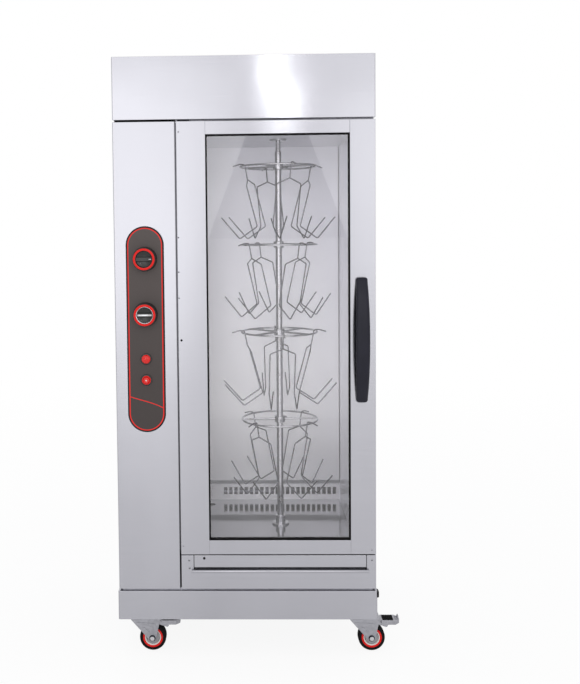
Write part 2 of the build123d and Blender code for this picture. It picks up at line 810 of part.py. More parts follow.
# Drip pan behind the drawer front
x_pan = x_drawer_hole + pan_side_gap
x_pan_end = x_drawer_hole_end - pan_side_gap
y_pan = y_channel + sheet
z_pan_top = z_floor - sheet - pan_ceiling_gap
z_pan = z_pan_top - pan_height
with BuildPart() as drip_pan:
    block(x_pan, x_pan_end, y_pan, y_pan + pan_depth, z_pan, z_pan_top)
    chamfer(drip_pan.edges().filter_by(Axis.Z), bend_radius)
    offset(amount=-sheet, openings=drip_pan.faces().sort_by(Axis.Z)[-1], kind=Kind.INTERSECTION)
save("drip_pan", drip_pan.part)


def drawer_runner(edge, side):
    """One folded runner: a foot on the plinth, a web, and a ledge under the pan's edge."""
    web = edge + side * runner_side_gap
    z_ledge = z_pan - slip_gap
    with BuildPart() as runner:
        with BuildSketch(front_plane(0, y_chamber)):
            with BuildLine():
                Polyline(
                    (web + side * sheet, z_body), (web - side * runner_foot, z_body),
                    (web - side * runner_foot, z_body + sheet), (web, z_body + sheet),
                    (web, z_ledge - sheet), (web - side * runner_ledge, z_ledge - sheet),
                    (web - side * runner_ledge, z_ledge), (web + side * sheet, z_ledge), close=True,
                )
            make_face()
        extrude(amount=-(y_pan + pan_depth - y_chamber))
    return runner.part


save("drawer_runners", drawer_runner(x_pan, -1), drawer_runner(x_pan_end, 1))

# Door stiles and rails: closed box sections, each with a small vent in its back
x_pivot = x_door + pivot_inset_x
y_pivot = y_front + pivot_inset_y


def door_bar(name, x0, x1, z0, z1, end_wall, pivots=False):
    """One bar of the door, with a hollow inside and the pivot holes where it has them."""
    with BuildPart() as door_piece:
        block(x0, x1, y_front, y_door_back, z0, z1)
        block(
            x0 + sheet, x1 - sheet, y_front + sheet, y_door_back - sheet, z0 + end_wall, z1 - end_wall,
            mode=Mode.SUBTRACT,
        )
        bar(
            (x0 + x1) / 2, (z0 + z1) / 2, vent_diameter, y_door_back - sheet, y_door_back, mode=Mode.SUBTRACT,
        )
        if pivots:
            hole = pivot_diameter + 2 * run_fit
            post(x_pivot, y_pivot, hole, z1 - pivot_length, z1, mode=Mode.SUBTRACT)
            post(x_pivot, y_pivot, hole, z0, z0 + pivot_length, mode=Mode.SUBTRACT)
    save(name, door_piece.part)


door_bar("door_left_stile", x_door, x_glass, z_door, z_door_top, end_block, pivots=True)
door_bar("door_right_stile", x_glass_end, x_door_end, z_door, z_door_top, sheet)
door_bar("door_top_rail", x_glass, x_glass_end, z_glass_top, z_door_top, sheet)
door_bar("door_bottom_rail", x_glass, x_glass_end, z_door, z_glass, sheet)

# Glass and the rubber gasket round its edge
y_glass = y_front + glass_setback
with BuildPart() as door_glass:
    block(
        x_glass + gasket_wrap, x_glass_end - gasket_wrap, y_glass, y_glass + glass_thickness,
        z_glass + gasket_wrap, z_glass_top - gasket_wrap,
    )
save("door_glass", door_glass.part)

with BuildPart() as glazing_gasket:
    block(
        x_glass, x_glass_end, y_glass - gasket_wrap, y_glass + glass_thickness + gasket_wrap,
        z_glass, z_glass_top,
    )
    block(
        x_glass + gasket_wrap, x_glass_end - gasket_wrap, y_glass, y_glass + glass_thickness,
        z_glass + gasket_wrap, z_glass_top - gasket_wrap, mode=Mode.SUBTRACT,
    )
    block(
        x_glass + gasket_lip, x_glass_end - gasket_lip, y_glass - gasket_wrap,
        y_glass + glass_thickness + gasket_wrap, z_glass + gasket_lip, z_glass_top - gasket_lip,
        mode=Mode.SUBTRACT,
    )
save("glazing_gasket", glazing_gasket.part)

# Door seal, a flat rubber loop on the back of the door
with BuildPart() as door_seal:
    with BuildSketch(front_plane((x_door + x_door_end) / 2, y_door_back)):
        with Locations((0, (z_door + z_door_top) / 2)):
            seal_length_x = x_door_end - x_door - 2 * seal_inset
            seal_length_z = door_height - 2 * seal_inset
            RectangleRounded(seal_length_x, seal_length_z, seal_width)
            Rectangle(seal_length_x - 2 * seal_width, seal_length_z - 2 * seal_width, mode=Mode.SUBTRACT)
    extrude(amount=-(y_face - seal_gap - y_door_back))
save("door_seal", door_seal.part)


def door_pivot(z_seat, z_near, z_tip):
    """One pivot: a plate fixed to the cabinet, with a pin that stands in the door's hole."""
    with BuildPart() as pivot:
        block(
            x_door + pivot_plate_inset, x_door + pivot_plate_inset + pivot_plate_length,
            y_front + pivot_plate_inset, y_front + pivot_plate_inset + pivot_plate_depth,
            min(z_seat, z_near), max(z_seat, z_near),
        )
        post(x_pivot, y_pivot, pivot_diameter, min(z_near, z_tip), max(z_near, z_tip))
    return pivot.part


upper_pivot = door_pivot(z_header, z_header - pivot_plate, z_door_top - pivot_length + sill_gap)
lower_pivot = door_pivot(z_rail_top, z_rail_top + pivot_plate, z_door + pivot_length - sill_gap)
save("door_pivots", upper_pivot, lower_pivot)

# Bow handle: rounded sections along an arc, trimmed flat where its feet meet the door
z_handle = handle_centre_height - handle_length / 2
z_handle_top = handle_centre_height + handle_length / 2
y_handle = y_front - handle_reach + handle_thickness / 2
y_handle_end = y_front + handle_thickness / 2
with BuildPart() as door_handle:
    bow = ThreePointArc(
        (handle_centre_x, y_handle_end, z_handle), (handle_centre_x, y_handle, handle_centre_height),
        (handle_centre_x, y_handle_end, z_handle_top), mode=Mode.PRIVATE,
    )
    for place_share, width_share in zip(handle_place_shares, handle_width_shares):
        with BuildSketch(Plane(origin=bow @ place_share, x_dir=(1, 0, 0), z_dir=bow % place_share)):
            section = Rectangle(handle_width * width_share, handle_thickness)
            chamfer(section.vertices(), handle_edge_radius)
    loft(ruled=True)
    split(bisect_by=front_plane(0, y_front), keep=Keep.TOP)
save("door_handle", door_handle.part)

# Control plate with rounded ends
with BuildPart() as control_plate:
    with BuildSketch(front_plane(x_control, y_front)):
        with Locations((0, plate_centre_height)):
            SlotOverall(plate_height, plate_width, rotation=90)
        with Locations(*[(0, height) for height in knob_heights]):
            round_outline(stem_bush_diameter, mode=Mode.SUBTRACT)
        with Locations((0, lamp_height), (0, button_height)):
            round_outline(pilot_barrel_diameter, mode=Mode.SUBTRACT)
    extrude(amount=plate_thickness)
save("control_plate", control_plate.part)

# Timer and thermostat bodies behind the column's cover, each with a bush through it
y_knob_back = y_plate - knob_gap
y_knob = y_knob_back - knob_depth
knob_face_diameter = knob_diameter - 2 * knob_depth * tan(radians(knob_taper))


def control_body(height):
    with BuildPart() as body:
        y_body = y_front + sheet
        block(
            x_control - control_body_width / 2, x_control + control_body_width / 2, y_body,
            y_body + control_body_depth, height - control_body_height / 2, height + control_body_height / 2,
        )
        bar(x_control, height, stem_bush_diameter, y_plate, y_body)
        bar(
            x_control, height, stem_diameter + 2 * run_fit, y_plate,
            y_knob_back + stem_depth + slip_gap, mode=Mode.SUBTRACT,
        )
    return body.part


save("control_bodies", *[control_body(height) for height in knob_heights])


def knob(name, ring_name, height):
    """One knob with a dished face and a grip bar, its stem, and the coloured ring set into its face."""
    ring_outer = knob_face_diameter - 2 * knob_ring_wall
    y_dish = y_knob + knob_dish_depth
    with BuildPart() as body:
        with BuildSketch(front_plane(x_control, y_knob_back)):
            with Locations((0, height)):
                RegularPolygon(knob_diameter / 2, knob_sides)
        extrude(amount=knob_depth, taper=knob_taper)
        with BuildSketch(front_plane(x_control, y_dish)):
            with Locations((0, height)):
                RegularPolygon(knob_dish_diameter / 2, knob_sides)
        extrude(amount=knob_dish_depth, mode=Mode.SUBTRACT)
        with BuildSketch(front_plane(x_control, y_dish)):
            with Locations((0, height)):
                RegularPolygon(knob_dish_diameter / 2, knob_sides)
                Rectangle(knob_dish_diameter, knob_bar_width, mode=Mode.INTERSECT)
        extrude(amount=knob_dish_depth - knob_bar_drop)
        with BuildSketch(front_plane(x_control, y_knob)) as ring_face:
            with Locations((0, height)):
                RegularPolygon(ring_outer / 2, knob_sides)
                RegularPolygon(knob_dish_diameter / 2, knob_sides, mode=Mode.SUBTRACT)
        extrude(amount=-knob_ring_depth, mode=Mode.SUBTRACT)
        with BuildSketch(front_plane(x_control, y_knob_back)):
            with Locations((0, height)):
                RegularPolygon(stem_diameter / 2, pin_sides)
        extrude(amount=stem_bite, mode=Mode.SUBTRACT)
    with BuildPart() as stem:
        bar(x_control, height, stem_diameter, y_knob_back - stem_bite, y_knob_back + stem_depth)
    with BuildPart() as ring:
        extrude(ring_face.sketch, amount=-knob_ring_depth)
    save(name, body.part, stem.part)
    save(ring_name, ring.part)


knob("knob_upper", "knob_ring_upper", knob_heights[0])
knob("knob_lower", "knob_ring_lower", knob_heights[1])

# Lamp and push button: bezels on the plate, barrels behind it, a domed lens on the lamp
y_bezel = y_plate - pilot_bezel_depth


def dome(height, diameter, rise, y_seat):
    """Crowned disc that stands out to the front from its seat."""
    with BuildPart() as crown:
        bar(x_control, height, diameter, y_seat - rise, y_seat, sides=tube_sides)
        front_edges = crown.edges().group_by(Axis.Y)[0]
        chamfer(front_edges, rise * dome_rise_share, diameter * dome_width_share)
    add(crown.part)


def pilot_housing(height):
    with BuildPart() as housing:
        bar(x_control, height, pilot_bezel_diameter, y_bezel, y_plate, sides=tube_sides)
        bar(x_control, height, pilot_barrel_diameter, y_plate, y_front + pilot_barrel_depth)
    return housing


lamp_housing = pilot_housing(lamp_height)
with BuildPart() as lamp_lens:
    dome(lamp_height, pilot_lens_diameter, pilot_lens_rise, y_bezel)
button_housing = pilot_housing(button_height)
y_well = y_bezel + button_well
with button_housing:
    bar(
        x_control, button_height, button_diameter + 2 * run_fit, y_bezel, y_well,
        sides=tube_sides, mode=Mode.SUBTRACT,
    )
save("pilot_lights", lamp_housing.part, lamp_lens.part, button_housing.part)

# Push button that slides in its housing, with a crowned face
with BuildPart() as push_button:
    bar(
        x_control, button_height, button_diameter, y_bezel - button_proud + button_crown,
        y_well - button_travel - slip_gap, sides=tube_sides,
    )
    dome(button_height, button_diameter, button_crown, y_bezel - button_proud + button_crown)
save("push_button", push_button.part)

# Casters
caster_x = x_right - caster_inset_x
caster_y = y_back - caster_inset_y
wheel_radius = wheel_diameter / 2
z_plate_low = z_plinth - caster_plate
yoke_top = z_plate_low - slip_gap - yoke_cup_height
yoke_inside = wheel_width + 2 * yoke_side_gap
z_pedal_pin = yoke_top - pedal_pin_drop
caster_places = {
    "front_left": (-caster_x, -caster_y),
    "front_right": (caster_x, -caster_y),
    "back_left": (-caster_x, caster_y),
    "back_right": (caster_x, caster_y),
}
braked_casters = ("front_left", "front_right")


def caster_top(x, y):
    """Fixed top plate with the hole for the kingpin."""
    with BuildPart() as top:
        block(
            x - caster_plate_length / 2, x + caster_plate_length / 2, y - caster_plate_width / 2,
            y + caster_plate_width / 2, z_plate_low, z_plinth,
        )
        chamfer(top.edges().filter_by(Axis.Z), bend_radius)
        post(x, y, kingpin_diameter + 2 * run_fit, z_plate_low, z_plinth, mode=Mode.SUBTRACT)
    return top.part


save("caster_plates", *[caster_top(x, y) for x, y in caster_places.values()])


def caster_fork(name, x, y, braked):
    """Swivelling fork with two tapered cheeks, its kingpin, the axle bolt and the brake's pin."""
    x_axle = x + caster_trail
    cheek_outside = yoke_inside / 2 + yoke_sheet
    x_pin = x + pedal_pin_setback
    with BuildPart() as fork:
        for side in (-1, 1):
            with BuildSketch(front_plane(x, y + side * yoke_inside / 2)):
                with Locations((caster_trail, wheel_radius)):
                    RegularPolygon(cheek_end_radius, cheek_sides)
                with Locations(((yoke_rear - yoke_front) / 2, yoke_top - yoke_head / 2)):
                    Rectangle(yoke_rear + yoke_front, yoke_head)
                make_hull()
                with Locations((caster_trail, wheel_radius)):
                    round_outline(axle_diameter, mode=Mode.SUBTRACT)
                if braked:
                    with Locations((pedal_pin_setback, z_pedal_pin)):
                        round_outline(pedal_pin_diameter, mode=Mode.SUBTRACT)
            extrude(amount=-side * yoke_sheet)
        block(
            x - yoke_front, x + yoke_rear, y - yoke_inside / 2, y + yoke_inside / 2,
            yoke_top - yoke_sheet, yoke_top,
        )
        post(x, y, yoke_cup_diameter, yoke_top, yoke_top + yoke_cup_height)
        chamfer(fork.edges().group_by(Axis.Z)[-1], yoke_cup_height / 2)
        post(x, y, kingpin_diameter, yoke_top + yoke_cup_height, z_plinth - slip_gap)
    with BuildPart() as axle:
        bar(x_axle, wheel_radius, axle_diameter, y - cheek_outside, y + cheek_outside)
        for side in (-1, 1):
            with BuildSketch(front_plane(x_axle, y + side * cheek_outside)):
                with Locations((0, wheel_radius)):
                    RegularPolygon(axle_head_diameter / 2, hex_sides)
            extrude(amount=-side * axle_head)
    solids = [fork.part, axle.part]
    if braked:
        with BuildPart() as brake_pin:
            bar(x_pin, z_pedal_pin, pedal_pin_diameter, y - cheek_outside, y + cheek_outside)
        solids.append(brake_pin.part)
    save(name, *solids)


def caster_wheel(name, x, y):
    """Wheel core, a thin web with a hub boss, and the tyre round it."""
    x_axle = x + caster_trail
    half = wheel_width / 2
    core_diameter = wheel_diameter - 2 * tread_depth
    with BuildPart() as tyre:
        bar(x_axle, wheel_radius, wheel_diameter, y - half, y + half, sides=wheel_sides)
        front_edges = tyre.edges().group_by(Axis.Y)[0]
        back_edges = tyre.edges().group_by(Axis.Y)[-1]
        chamfer(front_edges + back_edges, tread_chamfer)
        with BuildSketch(front_plane(x_axle, y + half)):
            with Locations((0, wheel_radius)):
                RegularPolygon(core_diameter / 2, wheel_sides)
        extrude(amount=wheel_width, mode=Mode.SUBTRACT)
    with BuildPart() as core:
        bar(x_axle, wheel_radius, core_diameter, y - half + core_recess, y + half - core_recess, sides=wheel_sides)
        bar(x_axle, wheel_radius, core_hub_diameter, y - half, y + half)
        bar(x_axle, wheel_radius, axle_diameter + 2 * run_fit, y - half, y + half, mode=Mode.SUBTRACT)
    save(name, tyre.part, core.part)


def tread_outline(x_tread, x_tip, y, inset, mode=Mode.ADD):
    """Outline of the pedal's tread from above, with its nose cut back, drawn in by an inset."""
    half = pedal_width / 2 - inset
    tip = x_tip - inset
    nose = pedal_nose - inset / 2
    Polygon(
        (x_tread, y - half), (tip - nose, y - half), (tip, y - half + nose), (tip, y + half - nose),
        (tip - nose, y + half), (x_tread, y + half), align=None, mode=mode,
    )


def brake_pedal(name, x, y):
    """Foot pedal on the fork's pin: a barrel, an arm between the cheeks and a wide pressed tread outside them."""
    x_pin = x + pedal_pin_setback
    half_arm = yoke_inside / 2 - pedal_side_gap
    x_tread = x_pin + pedal_arm
    x_tip = x_pin + pedal_reach
    with BuildPart() as pedal:
        bar(x_pin, z_pedal_pin, pedal_barrel_diameter, y - half_arm, y + half_arm)
        block(
            x_pin, x_tread, y - half_arm, y + half_arm,
            z_pedal_pin - pedal_thickness / 2, z_pedal_pin + pedal_thickness / 2,
        )
        with BuildSketch(Plane.XY.offset(z_pedal_pin + pedal_thickness / 2)):
            tread_outline(x_tread, x_tip, y, 0)
        extrude(amount=-pedal_thickness)
        with BuildSketch(Plane.XY.offset(z_pedal_pin)):
            tread_outline(x_tread, x_tip, y, 0)
            tread_outline(x_tread, x_tip, y, pedal_thickness, mode=Mode.SUBTRACT)
        extrude(amount=-pedal_lip)
        bar(
            x_pin, z_pedal_pin, pedal_pin_diameter + 2 * run_fit, y - half_arm, y + half_arm, mode=Mode.SUBTRACT,
        )
    save(name, pedal.part)


for place, (x, y) in caster_places.items():
    braked = place in braked_casters
    caster_fork(f"caster_fork_{place}", x, y, braked)
    caster_wheel(f"caster_wheel_{place}", x, y)
    if braked:
        brake_pedal(f"brake_pedal_{place}", x, y)
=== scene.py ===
"""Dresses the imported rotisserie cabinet: wires, knobs, casters, fixings, finishes and a studio."""
import math

import bmesh
import bpy
from mathutils import Matrix, Vector


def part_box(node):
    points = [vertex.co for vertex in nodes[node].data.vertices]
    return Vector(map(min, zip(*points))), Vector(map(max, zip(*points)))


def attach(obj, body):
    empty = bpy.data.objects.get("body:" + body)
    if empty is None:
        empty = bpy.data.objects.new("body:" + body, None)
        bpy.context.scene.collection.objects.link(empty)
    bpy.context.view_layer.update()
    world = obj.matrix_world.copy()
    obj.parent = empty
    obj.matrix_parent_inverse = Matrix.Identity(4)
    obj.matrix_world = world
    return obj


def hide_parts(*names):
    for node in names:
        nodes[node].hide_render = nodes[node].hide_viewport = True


bl_info = {
    "name": "Vertical rotisserie dressing",
    "version": (1, 0, 0),
    "blender": (4, 5, 0),
    "location": "View3D > Sidebar > Rotisserie",
    "description": "Dresses the packed rotisserie cabinet with its pieces and finishes",
    "category": "Object",
}

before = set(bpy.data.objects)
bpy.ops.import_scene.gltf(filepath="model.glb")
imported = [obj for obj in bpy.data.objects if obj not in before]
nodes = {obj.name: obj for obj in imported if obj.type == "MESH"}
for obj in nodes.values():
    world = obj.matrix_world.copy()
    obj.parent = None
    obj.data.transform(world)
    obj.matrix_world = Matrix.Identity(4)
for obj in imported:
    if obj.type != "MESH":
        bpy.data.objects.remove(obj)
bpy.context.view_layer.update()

MM = 0.001
WELD = 0.02 * MM
RUNNING_FIT = 0.05 * MM
FULL_TURN = 2 * math.pi
SHARP_EDGE, EASED_EDGE, FLAT_EDGE = [math.radians(angle) for angle in (38.0, 28.0, 0.5)]
UP, FRONT, BACK = (0.0, 0.0, 1.0), (0.0, -1.0, 0.0), (0.0, 1.0, 0.0)
RIGHT, LEFT = (1.0, 0.0, 0.0), (-1.0, 0.0, 0.0)
SIDES = (-1, 1)
WHITE = (1.0, 1.0, 1.0, 1.0)
CORNERS = ("front_left", "front_right", "back_left", "back_right")
TIER_ANGLES = (18.0, 32.0, 4.0, 48.0)
FORKS_PER_TIER = 4
SPOKES_PER_RING = 4
AXLE_HEIGHT = 41 * MM
KING_IN, TRAIL = 22 * MM, 44 * MM
YOKE_TOP = 106.2 * MM
PEDAL_TOP = 97.7 * MM


def middle(node):
    """Centre of a CAD node's box."""
    low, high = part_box(node)
    return (low + high) / 2


def span(node):
    """Size of a CAD node's box."""
    low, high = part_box(node)
    return high - low


SHAFT = middle("rotor_shaft")
PLATE = middle("control_plate")
PLATE_FACE = PLATE.y - span("control_plate").y / 2


def size_prop(name, description, millimetres):
    """A size that a user can change."""
    return bpy.props.FloatProperty(
        name=name, description=description, default=millimetres * MM, unit="LENGTH")


def colour_prop(name, description, *tone):
    """A colour that a user can change."""
    return bpy.props.FloatVectorProperty(
        name=name, description=description, size=4, subtype="COLOR", default=tone + (1.0,))


def angle_prop(name, description, radians):
    """A turn of the camera that a user can change."""
    return bpy.props.FloatProperty(
        name=name, description=description, default=radians, subtype="ANGLE")


class RotisserieSizes(bpy.types.PropertyGroup):
    """Sizes of the pieces that are made here."""

    ring_rod: size_prop("Ring rod", "Diameter of the rod of a tier ring", 6)
    fork_wire: size_prop("Fork wire", "Diameter of a fork's wire", 4)
    wire_bend: size_prop("Wire bend", "Inside radius of the bends of a fork", 7)
    element_bend: size_prop("Element bend", "Radius of the bends of a heating element", 22)
    tube: size_prop("Tube", "Diameter of the turning tube", 21)
    spindle: size_prop("Spindle", "Diameter of the drive spindle", 16)
    sheet_edge: size_prop("Sheet edge", "Rounding of folded sheet edges", 0.8)
    screw_head: size_prop("Screw head", "Diameter of the small screw heads", 7)
    louvre_reach: size_prop("Louvre reach", "How far a louvre stands off the back panel", 6)


class RotisserieFinishes(bpy.types.PropertyGroup):
    """Colours of the finishes."""

    steel: colour_prop("Steel", "Satin sheet steel", 0.450, 0.448, 0.485)
    # painted light: the chamber steel is far paler than the outer steel, to brighten the chamber
    # behind the glass
    chamber: colour_prop("Chamber", "Steel of the chamber", 0.87, 0.87, 0.925)
    wire: colour_prop("Wire", "Bright rods and wires", 0.60, 0.60, 0.62)
    black: colour_prop("Black", "Black mouldings", 0.009, 0.009, 0.015)
    red: colour_prop("Red", "Red trim and lenses", 0.72, 0.010, 0.007)
    panel: colour_prop("Panel", "Printed control foil", 0.080, 0.066, 0.063)
    zinc: colour_prop("Zinc", "Plated caster steel", 0.43, 0.43, 0.465)
    floor: colour_prop("Floor", "Pale studio floor", 0.82, 0.82, 0.82)


class RotisserieStage(bpy.types.PropertyGroup):
    """Where the camera stands and how it looks."""

    place: bpy.props.FloatVectorProperty(
        name="Camera", description="Where the camera stands", size=3, subtype="TRANSLATION",
        default=(-0.0063, -2.8330, 1.2866))
    yaw: angle_prop("Yaw", "Turn of the view to the right", -0.0240)
    pitch: angle_prop("Pitch", "Tilt of the view upwards", -0.0476)
    roll: angle_prop("Roll", "Lean of the view", -0.0101)
    lens: bpy.props.FloatProperty(
        name="Lens", description="Focal length in millimetres", default=44.73, unit="CAMERA")
    shift: bpy.props.FloatVectorProperty(
        name="Shift", description="Offset of the picture from the lens axis", size=2,
        default=(0.0992, -0.0978))


def sizes():
    return bpy.context.scene.rotisserie_sizes


def colours():
    return bpy.context.scene.rotisserie_finishes


class Signal:
    """One socket of a node, with the sums that the finishes use."""

    def __init__(self, sheet, socket):
        self.sheet = sheet
        self.socket = socket

    def maths(self, operation, first, second=0.0):
        return self.sheet.add("ShaderNodeMath", {0: first, 1: second}, operation=operation)

    def __add__(self, other):
        return self.maths("ADD", self, other)

    __radd__ = __add__

    def __sub__(self, other):
        return self.maths("SUBTRACT", self, other)

    def __rsub__(self, other):
        return self.maths("SUBTRACT", other, self)

    def __mul__(self, other):
        return self.maths("MULTIPLY", self, other)

    __rmul__ = __mul__

    def __truediv__(self, other):
        return self.maths("DIVIDE", self, other)

    def __pow__(self, other):
        return self.maths("POWER", self, other)

    def __abs__(self):
        return self.maths("ABSOLUTE", self)

    def at_least(self, other):
        return self.maths("MAXIMUM", self, other)

    def at_most(self, other):
        return self.maths("MINIMUM", self, other)


class NodeSheet:
    """A node tree being written."""

    def __init__(self, tree):
        self.tree = tree

    def add(self, kind, inputs=None, output=0, **settings):
        """Add a node, set it, give its sockets values or links, and hand back one output.

        A list links several signals to one socket.
        """
        node = self.tree.nodes.new(kind)
        for name, value in settings.items():
            if name == "stops":
                ramp = node.color_ramp
                while len(ramp.elements) < len(value):
                    ramp.elements.new(1.0)
                for element, (position, colour) in zip(ramp.elements, value):
                    element.position = position
                    element.color = colour
            else:
                setattr(node, name, value)
        for key, value in (inputs or {}).items():
            links = value if isinstance(value, list) else [value]
            if isinstance(links[0], Signal):
                for link in links:
                    self.tree.links.new(link.socket, node.inputs[key])
            else:
                node.inputs[key].default_value = value
        return Signal(self, node.outputs[output]) if len(node.outputs) else None

    def part(self, vector, axis):
        """One part of a vector."""
        return self.add("ShaderNodeSeparateXYZ", {"Vector": vector}, axis)

    def rays(self):
        """Whether a ray comes from the camera, off a gloss or through something clear."""
        return [self.add("ShaderNodeLightPath", output="Is %s Ray" % kind)
                for kind in ("Camera", "Glossy", "Transmission")]


class Finish(NodeSheet):
    """A material being written, on the coordinates of the piece that wears it."""

    def __init__(self, name):
        self.material = bpy.data.materials.new(name)
        self.material.use_nodes = True
        super().__init__(self.material.node_tree)
        self.tree.nodes.clear()
        self.place = self.add("ShaderNodeTexCoord", output="Object")

    def noise(self, scale, detail=3.0, roughness=0.55, stretch=None):
        """Soft noise, drawn out along the axes by a stretch."""
        vector = self.place
        if stretch:
            vector = self.add("ShaderNodeMapping", {"Vector": vector, "Scale": stretch})
        return self.add("ShaderNodeTexNoise", {
            "Vector": vector, "Scale": scale, "Detail": detail, "Roughness": roughness})

    def mix(self, factor, first, second):
        return self.add("ShaderNodeMix", {0: factor, 6: first, 7: second}, 2, data_type="RGBA")

    def step(self, value, low, high, start=0.0, end=1.0):
        """A soft step from one level to another."""
        return self.add("ShaderNodeMapRange", {
            "Value": value, "From Min": low, "From Max": high, "To Min": start, "To Max": end},
            interpolation_type="SMOOTHSTEP")

    def bump(self, height, distance, strength=1.0, below=None):
        inputs = {"Height": height, "Distance": distance, "Strength": strength}
        if below:
            inputs["Normal"] = below
        return self.add("ShaderNodeBump", inputs)

    def close(self, shader):
        """End the material with a shader."""
        self.add("ShaderNodeOutputMaterial", {"Surface": shader})
        return self.material

    def surface(self, **inputs):
        """Close the material with one principled surface."""
        named = {key.replace("_", " ").title().replace("Ior", "IOR"): value
                 for key, value in inputs.items()}
        return self.close(self.add("ShaderNodeBsdfPrincipled", named))


MADE = {}


def made_once(maker):
    """What a maker function makes, kept for its next use."""
    if maker not in MADE:
        MADE[maker] = maker()
    return MADE[maker]


def shade(colour, share):
    """A colour made darker or lighter by a share."""
    return tuple(min(1.0, part * share) for part in colour[:3]) + (1.0,)


PANEL_GRAIN = (7.0, 7.0, 620.0)
CHAMBER_GRAIN = (9.0, 9.0, 520.0)
PAN_GRAIN = (520.0, 9.0, 9.0)
HANDLING = (6.0, 6.0, 2.2)
SLACK = (2.6, 2.6, 3.6)


def brushed(name, colour, rough, grain, pull, painted_foot_light=None, wave=2.2 * MM, slant=1.0):
    """Sheet steel: grain that pulls reflections upright, handling marks and slack in the sheet.

    The painted foot light pales it towards its foot, as painted light on the lower chamber walls,
    and slant is the share of its glare at a low angle.
    """
    finish = Finish(name)
    streaks = finish.noise(1.0, 4.0, 0.6, grain)
    marks = finish.noise(1.0, 3.0, 0.5, HANDLING)
    blend = streaks * 0.5 + marks * 0.5
    dark, light = shade(colour, 0.87), shade(colour, 1.11)
    tone = finish.mix(blend, dark, light)
    # painted light: the colour is paled towards the foot of the sheet
    if painted_foot_light:
        height = finish.part(finish.place, "Z") + marks * 0.3
        tone = finish.mix(finish.step(height, 0.80, 1.55, 0.95, 0.0), tone, painted_foot_light)
    smooth, dull = rough
    waves = finish.bump(finish.noise(1.0, 1.0, 0.3, SLACK), wave)
    return finish.surface(
        base_color=tone, metallic=1.0, roughness=smooth + (dull - smooth) * blend,
        normal=finish.bump(streaks, 0.06 * MM, 0.5, waves),
        anisotropic=pull, anisotropic_rotation=0.25, specular_tint=(slant, slant, slant, 1.0))


def satin_sheet():
    return brushed("satin_sheet", colours().steel, (0.17, 0.29), PANEL_GRAIN, 0.90, slant=0.55)


def header_sheet():
    """The header's fascia, rubbed smoother, so that its slack shows in the lamp's edge."""
    # painted shade: the header's steel is made a little darker than the other sheets
    return brushed("header_sheet", shade(colours().steel, 0.96), (0.14, 0.22), PANEL_GRAIN, 0.8,
                   wave=6 * MM)


def chamber_sheet():
    # painted light: the lower chamber walls are paled almost to white
    return brushed("chamber_sheet", colours().chamber, (0.42, 0.58), CHAMBER_GRAIN, 0.2,
                   painted_foot_light=(0.99, 0.99, 1.0, 1.0))


def side_sheet():
    """The chamber's right wall, smoother than its back, so that it mirrors the room; its steel is
    darker than the back's, a painted shade.
    """
    return brushed("side_sheet", shade(colours().chamber, 0.88), (0.24, 0.40), CHAMBER_GRAIN, 0.5)


def pan_sheet():
    """The drip pan's steel, duller and browned a little by use."""
    return brushed("pan_sheet", (0.50, 0.485, 0.475, 1.0), (0.26, 0.44), PAN_GRAIN, 0.3)


def wiped_floor():
    """The chamber floor, wiped smooth so that it mirrors the slots above it, and coloured far darker
    than the walls as painted shade.
    """
    # painted shade: the floor's steel is 0.40 of the chamber colour
    return brushed("wiped_floor", shade(colours().chamber, 0.40), (0.07, 0.15), CHAMBER_GRAIN, 0.0)


def drawn_steel(name, clean, sooty, drawing, soot_scale, soot_band, cover, dulled):
    """Drawn rod or wire, bright where it is clean and darker where soot has baked on."""
    finish = Finish(name)
    drawn = finish.noise(drawing)
    soot = finish.step(finish.noise(soot_scale), *soot_band)
    return finish.surface(
        base_color=finish.mix(soot * cover, clean, sooty), metallic=1.0,
        roughness=0.16 + drawn * 0.14 + soot * dulled,
        normal=finish.bump(drawn, 0.04 * MM, 0.4))


def bright_rod():
    return drawn_steel("bright_rod", colours().wire, (0.30, 0.27, 0.25, 1.0),
                       220.0, 38.0, (0.52, 0.72), 0.5, 0.12)


def dark_wire():
    return drawn_steel("dark_wire", (0.30, 0.30, 0.33, 1.0), (0.13, 0.126, 0.132, 1.0),
                       240.0, 30.0, (0.42, 0.66), 1.0, 0.0)


def mottled(name, dark, light, patch, rough, spread, grain, depth, strength=0.4, fine=0.0, **more):
    """A material in two soft tones, rougher in its lighter patches, with a fine grain.

    Patch and grain are the scale and detail of a noise, and depth is in millimetres.
    """
    finish = Finish(name)
    patches, pores = finish.noise(*patch), finish.noise(*grain)
    return finish.surface(
        base_color=finish.mix(patches, dark, light),
        roughness=rough + patches * spread + pores * fine,
        normal=finish.bump(pores, depth * MM, strength), **more)


def black_moulding():
    black = colours().black
    return mottled("black_moulding", black, shade(black, 1.9), (24.0, 4.0), 0.24, 0.10,
                   (900.0, 2.0), 0.08, 0.45, fine=0.05, specular_ior_level=0.20)


def knob_black():
    return mottled("knob_black", (0.004, 0.004, 0.004, 1.0), (0.012, 0.012, 0.012, 1.0),
                   (60.0, 3.0), 0.16, 0.12, (800.0, 2.0), 0.04, specular_ior_level=0.5)


def soft_rubber():
    return mottled("soft_rubber", (0.004, 0.004, 0.005, 1.0), (0.014, 0.0135, 0.0135, 1.0),
                   (16.0, 4.0), 0.62, 0.0, (420.0, 3.0), 0.1, 0.5, fine=0.2,
                   specular_ior_level=0.06)


def red_gloss():
    red = colours().red
    return mottled("red_gloss", shade(red, 0.86), shade(red, 1.08), (60.0, 3.0), 0.28, 0.1,
                   (700.0, 2.0), 0.03, specular_ior_level=0.2)


def lamp_red():
    red = colours().red
    return mottled("lamp_red", shade(red, 0.80), shade(red, 1.05), (110.0, 2.0), 0.08, 0.05,
                   (320.0, 1.0), 0.04, 0.3, specular_ior_level=0.45)


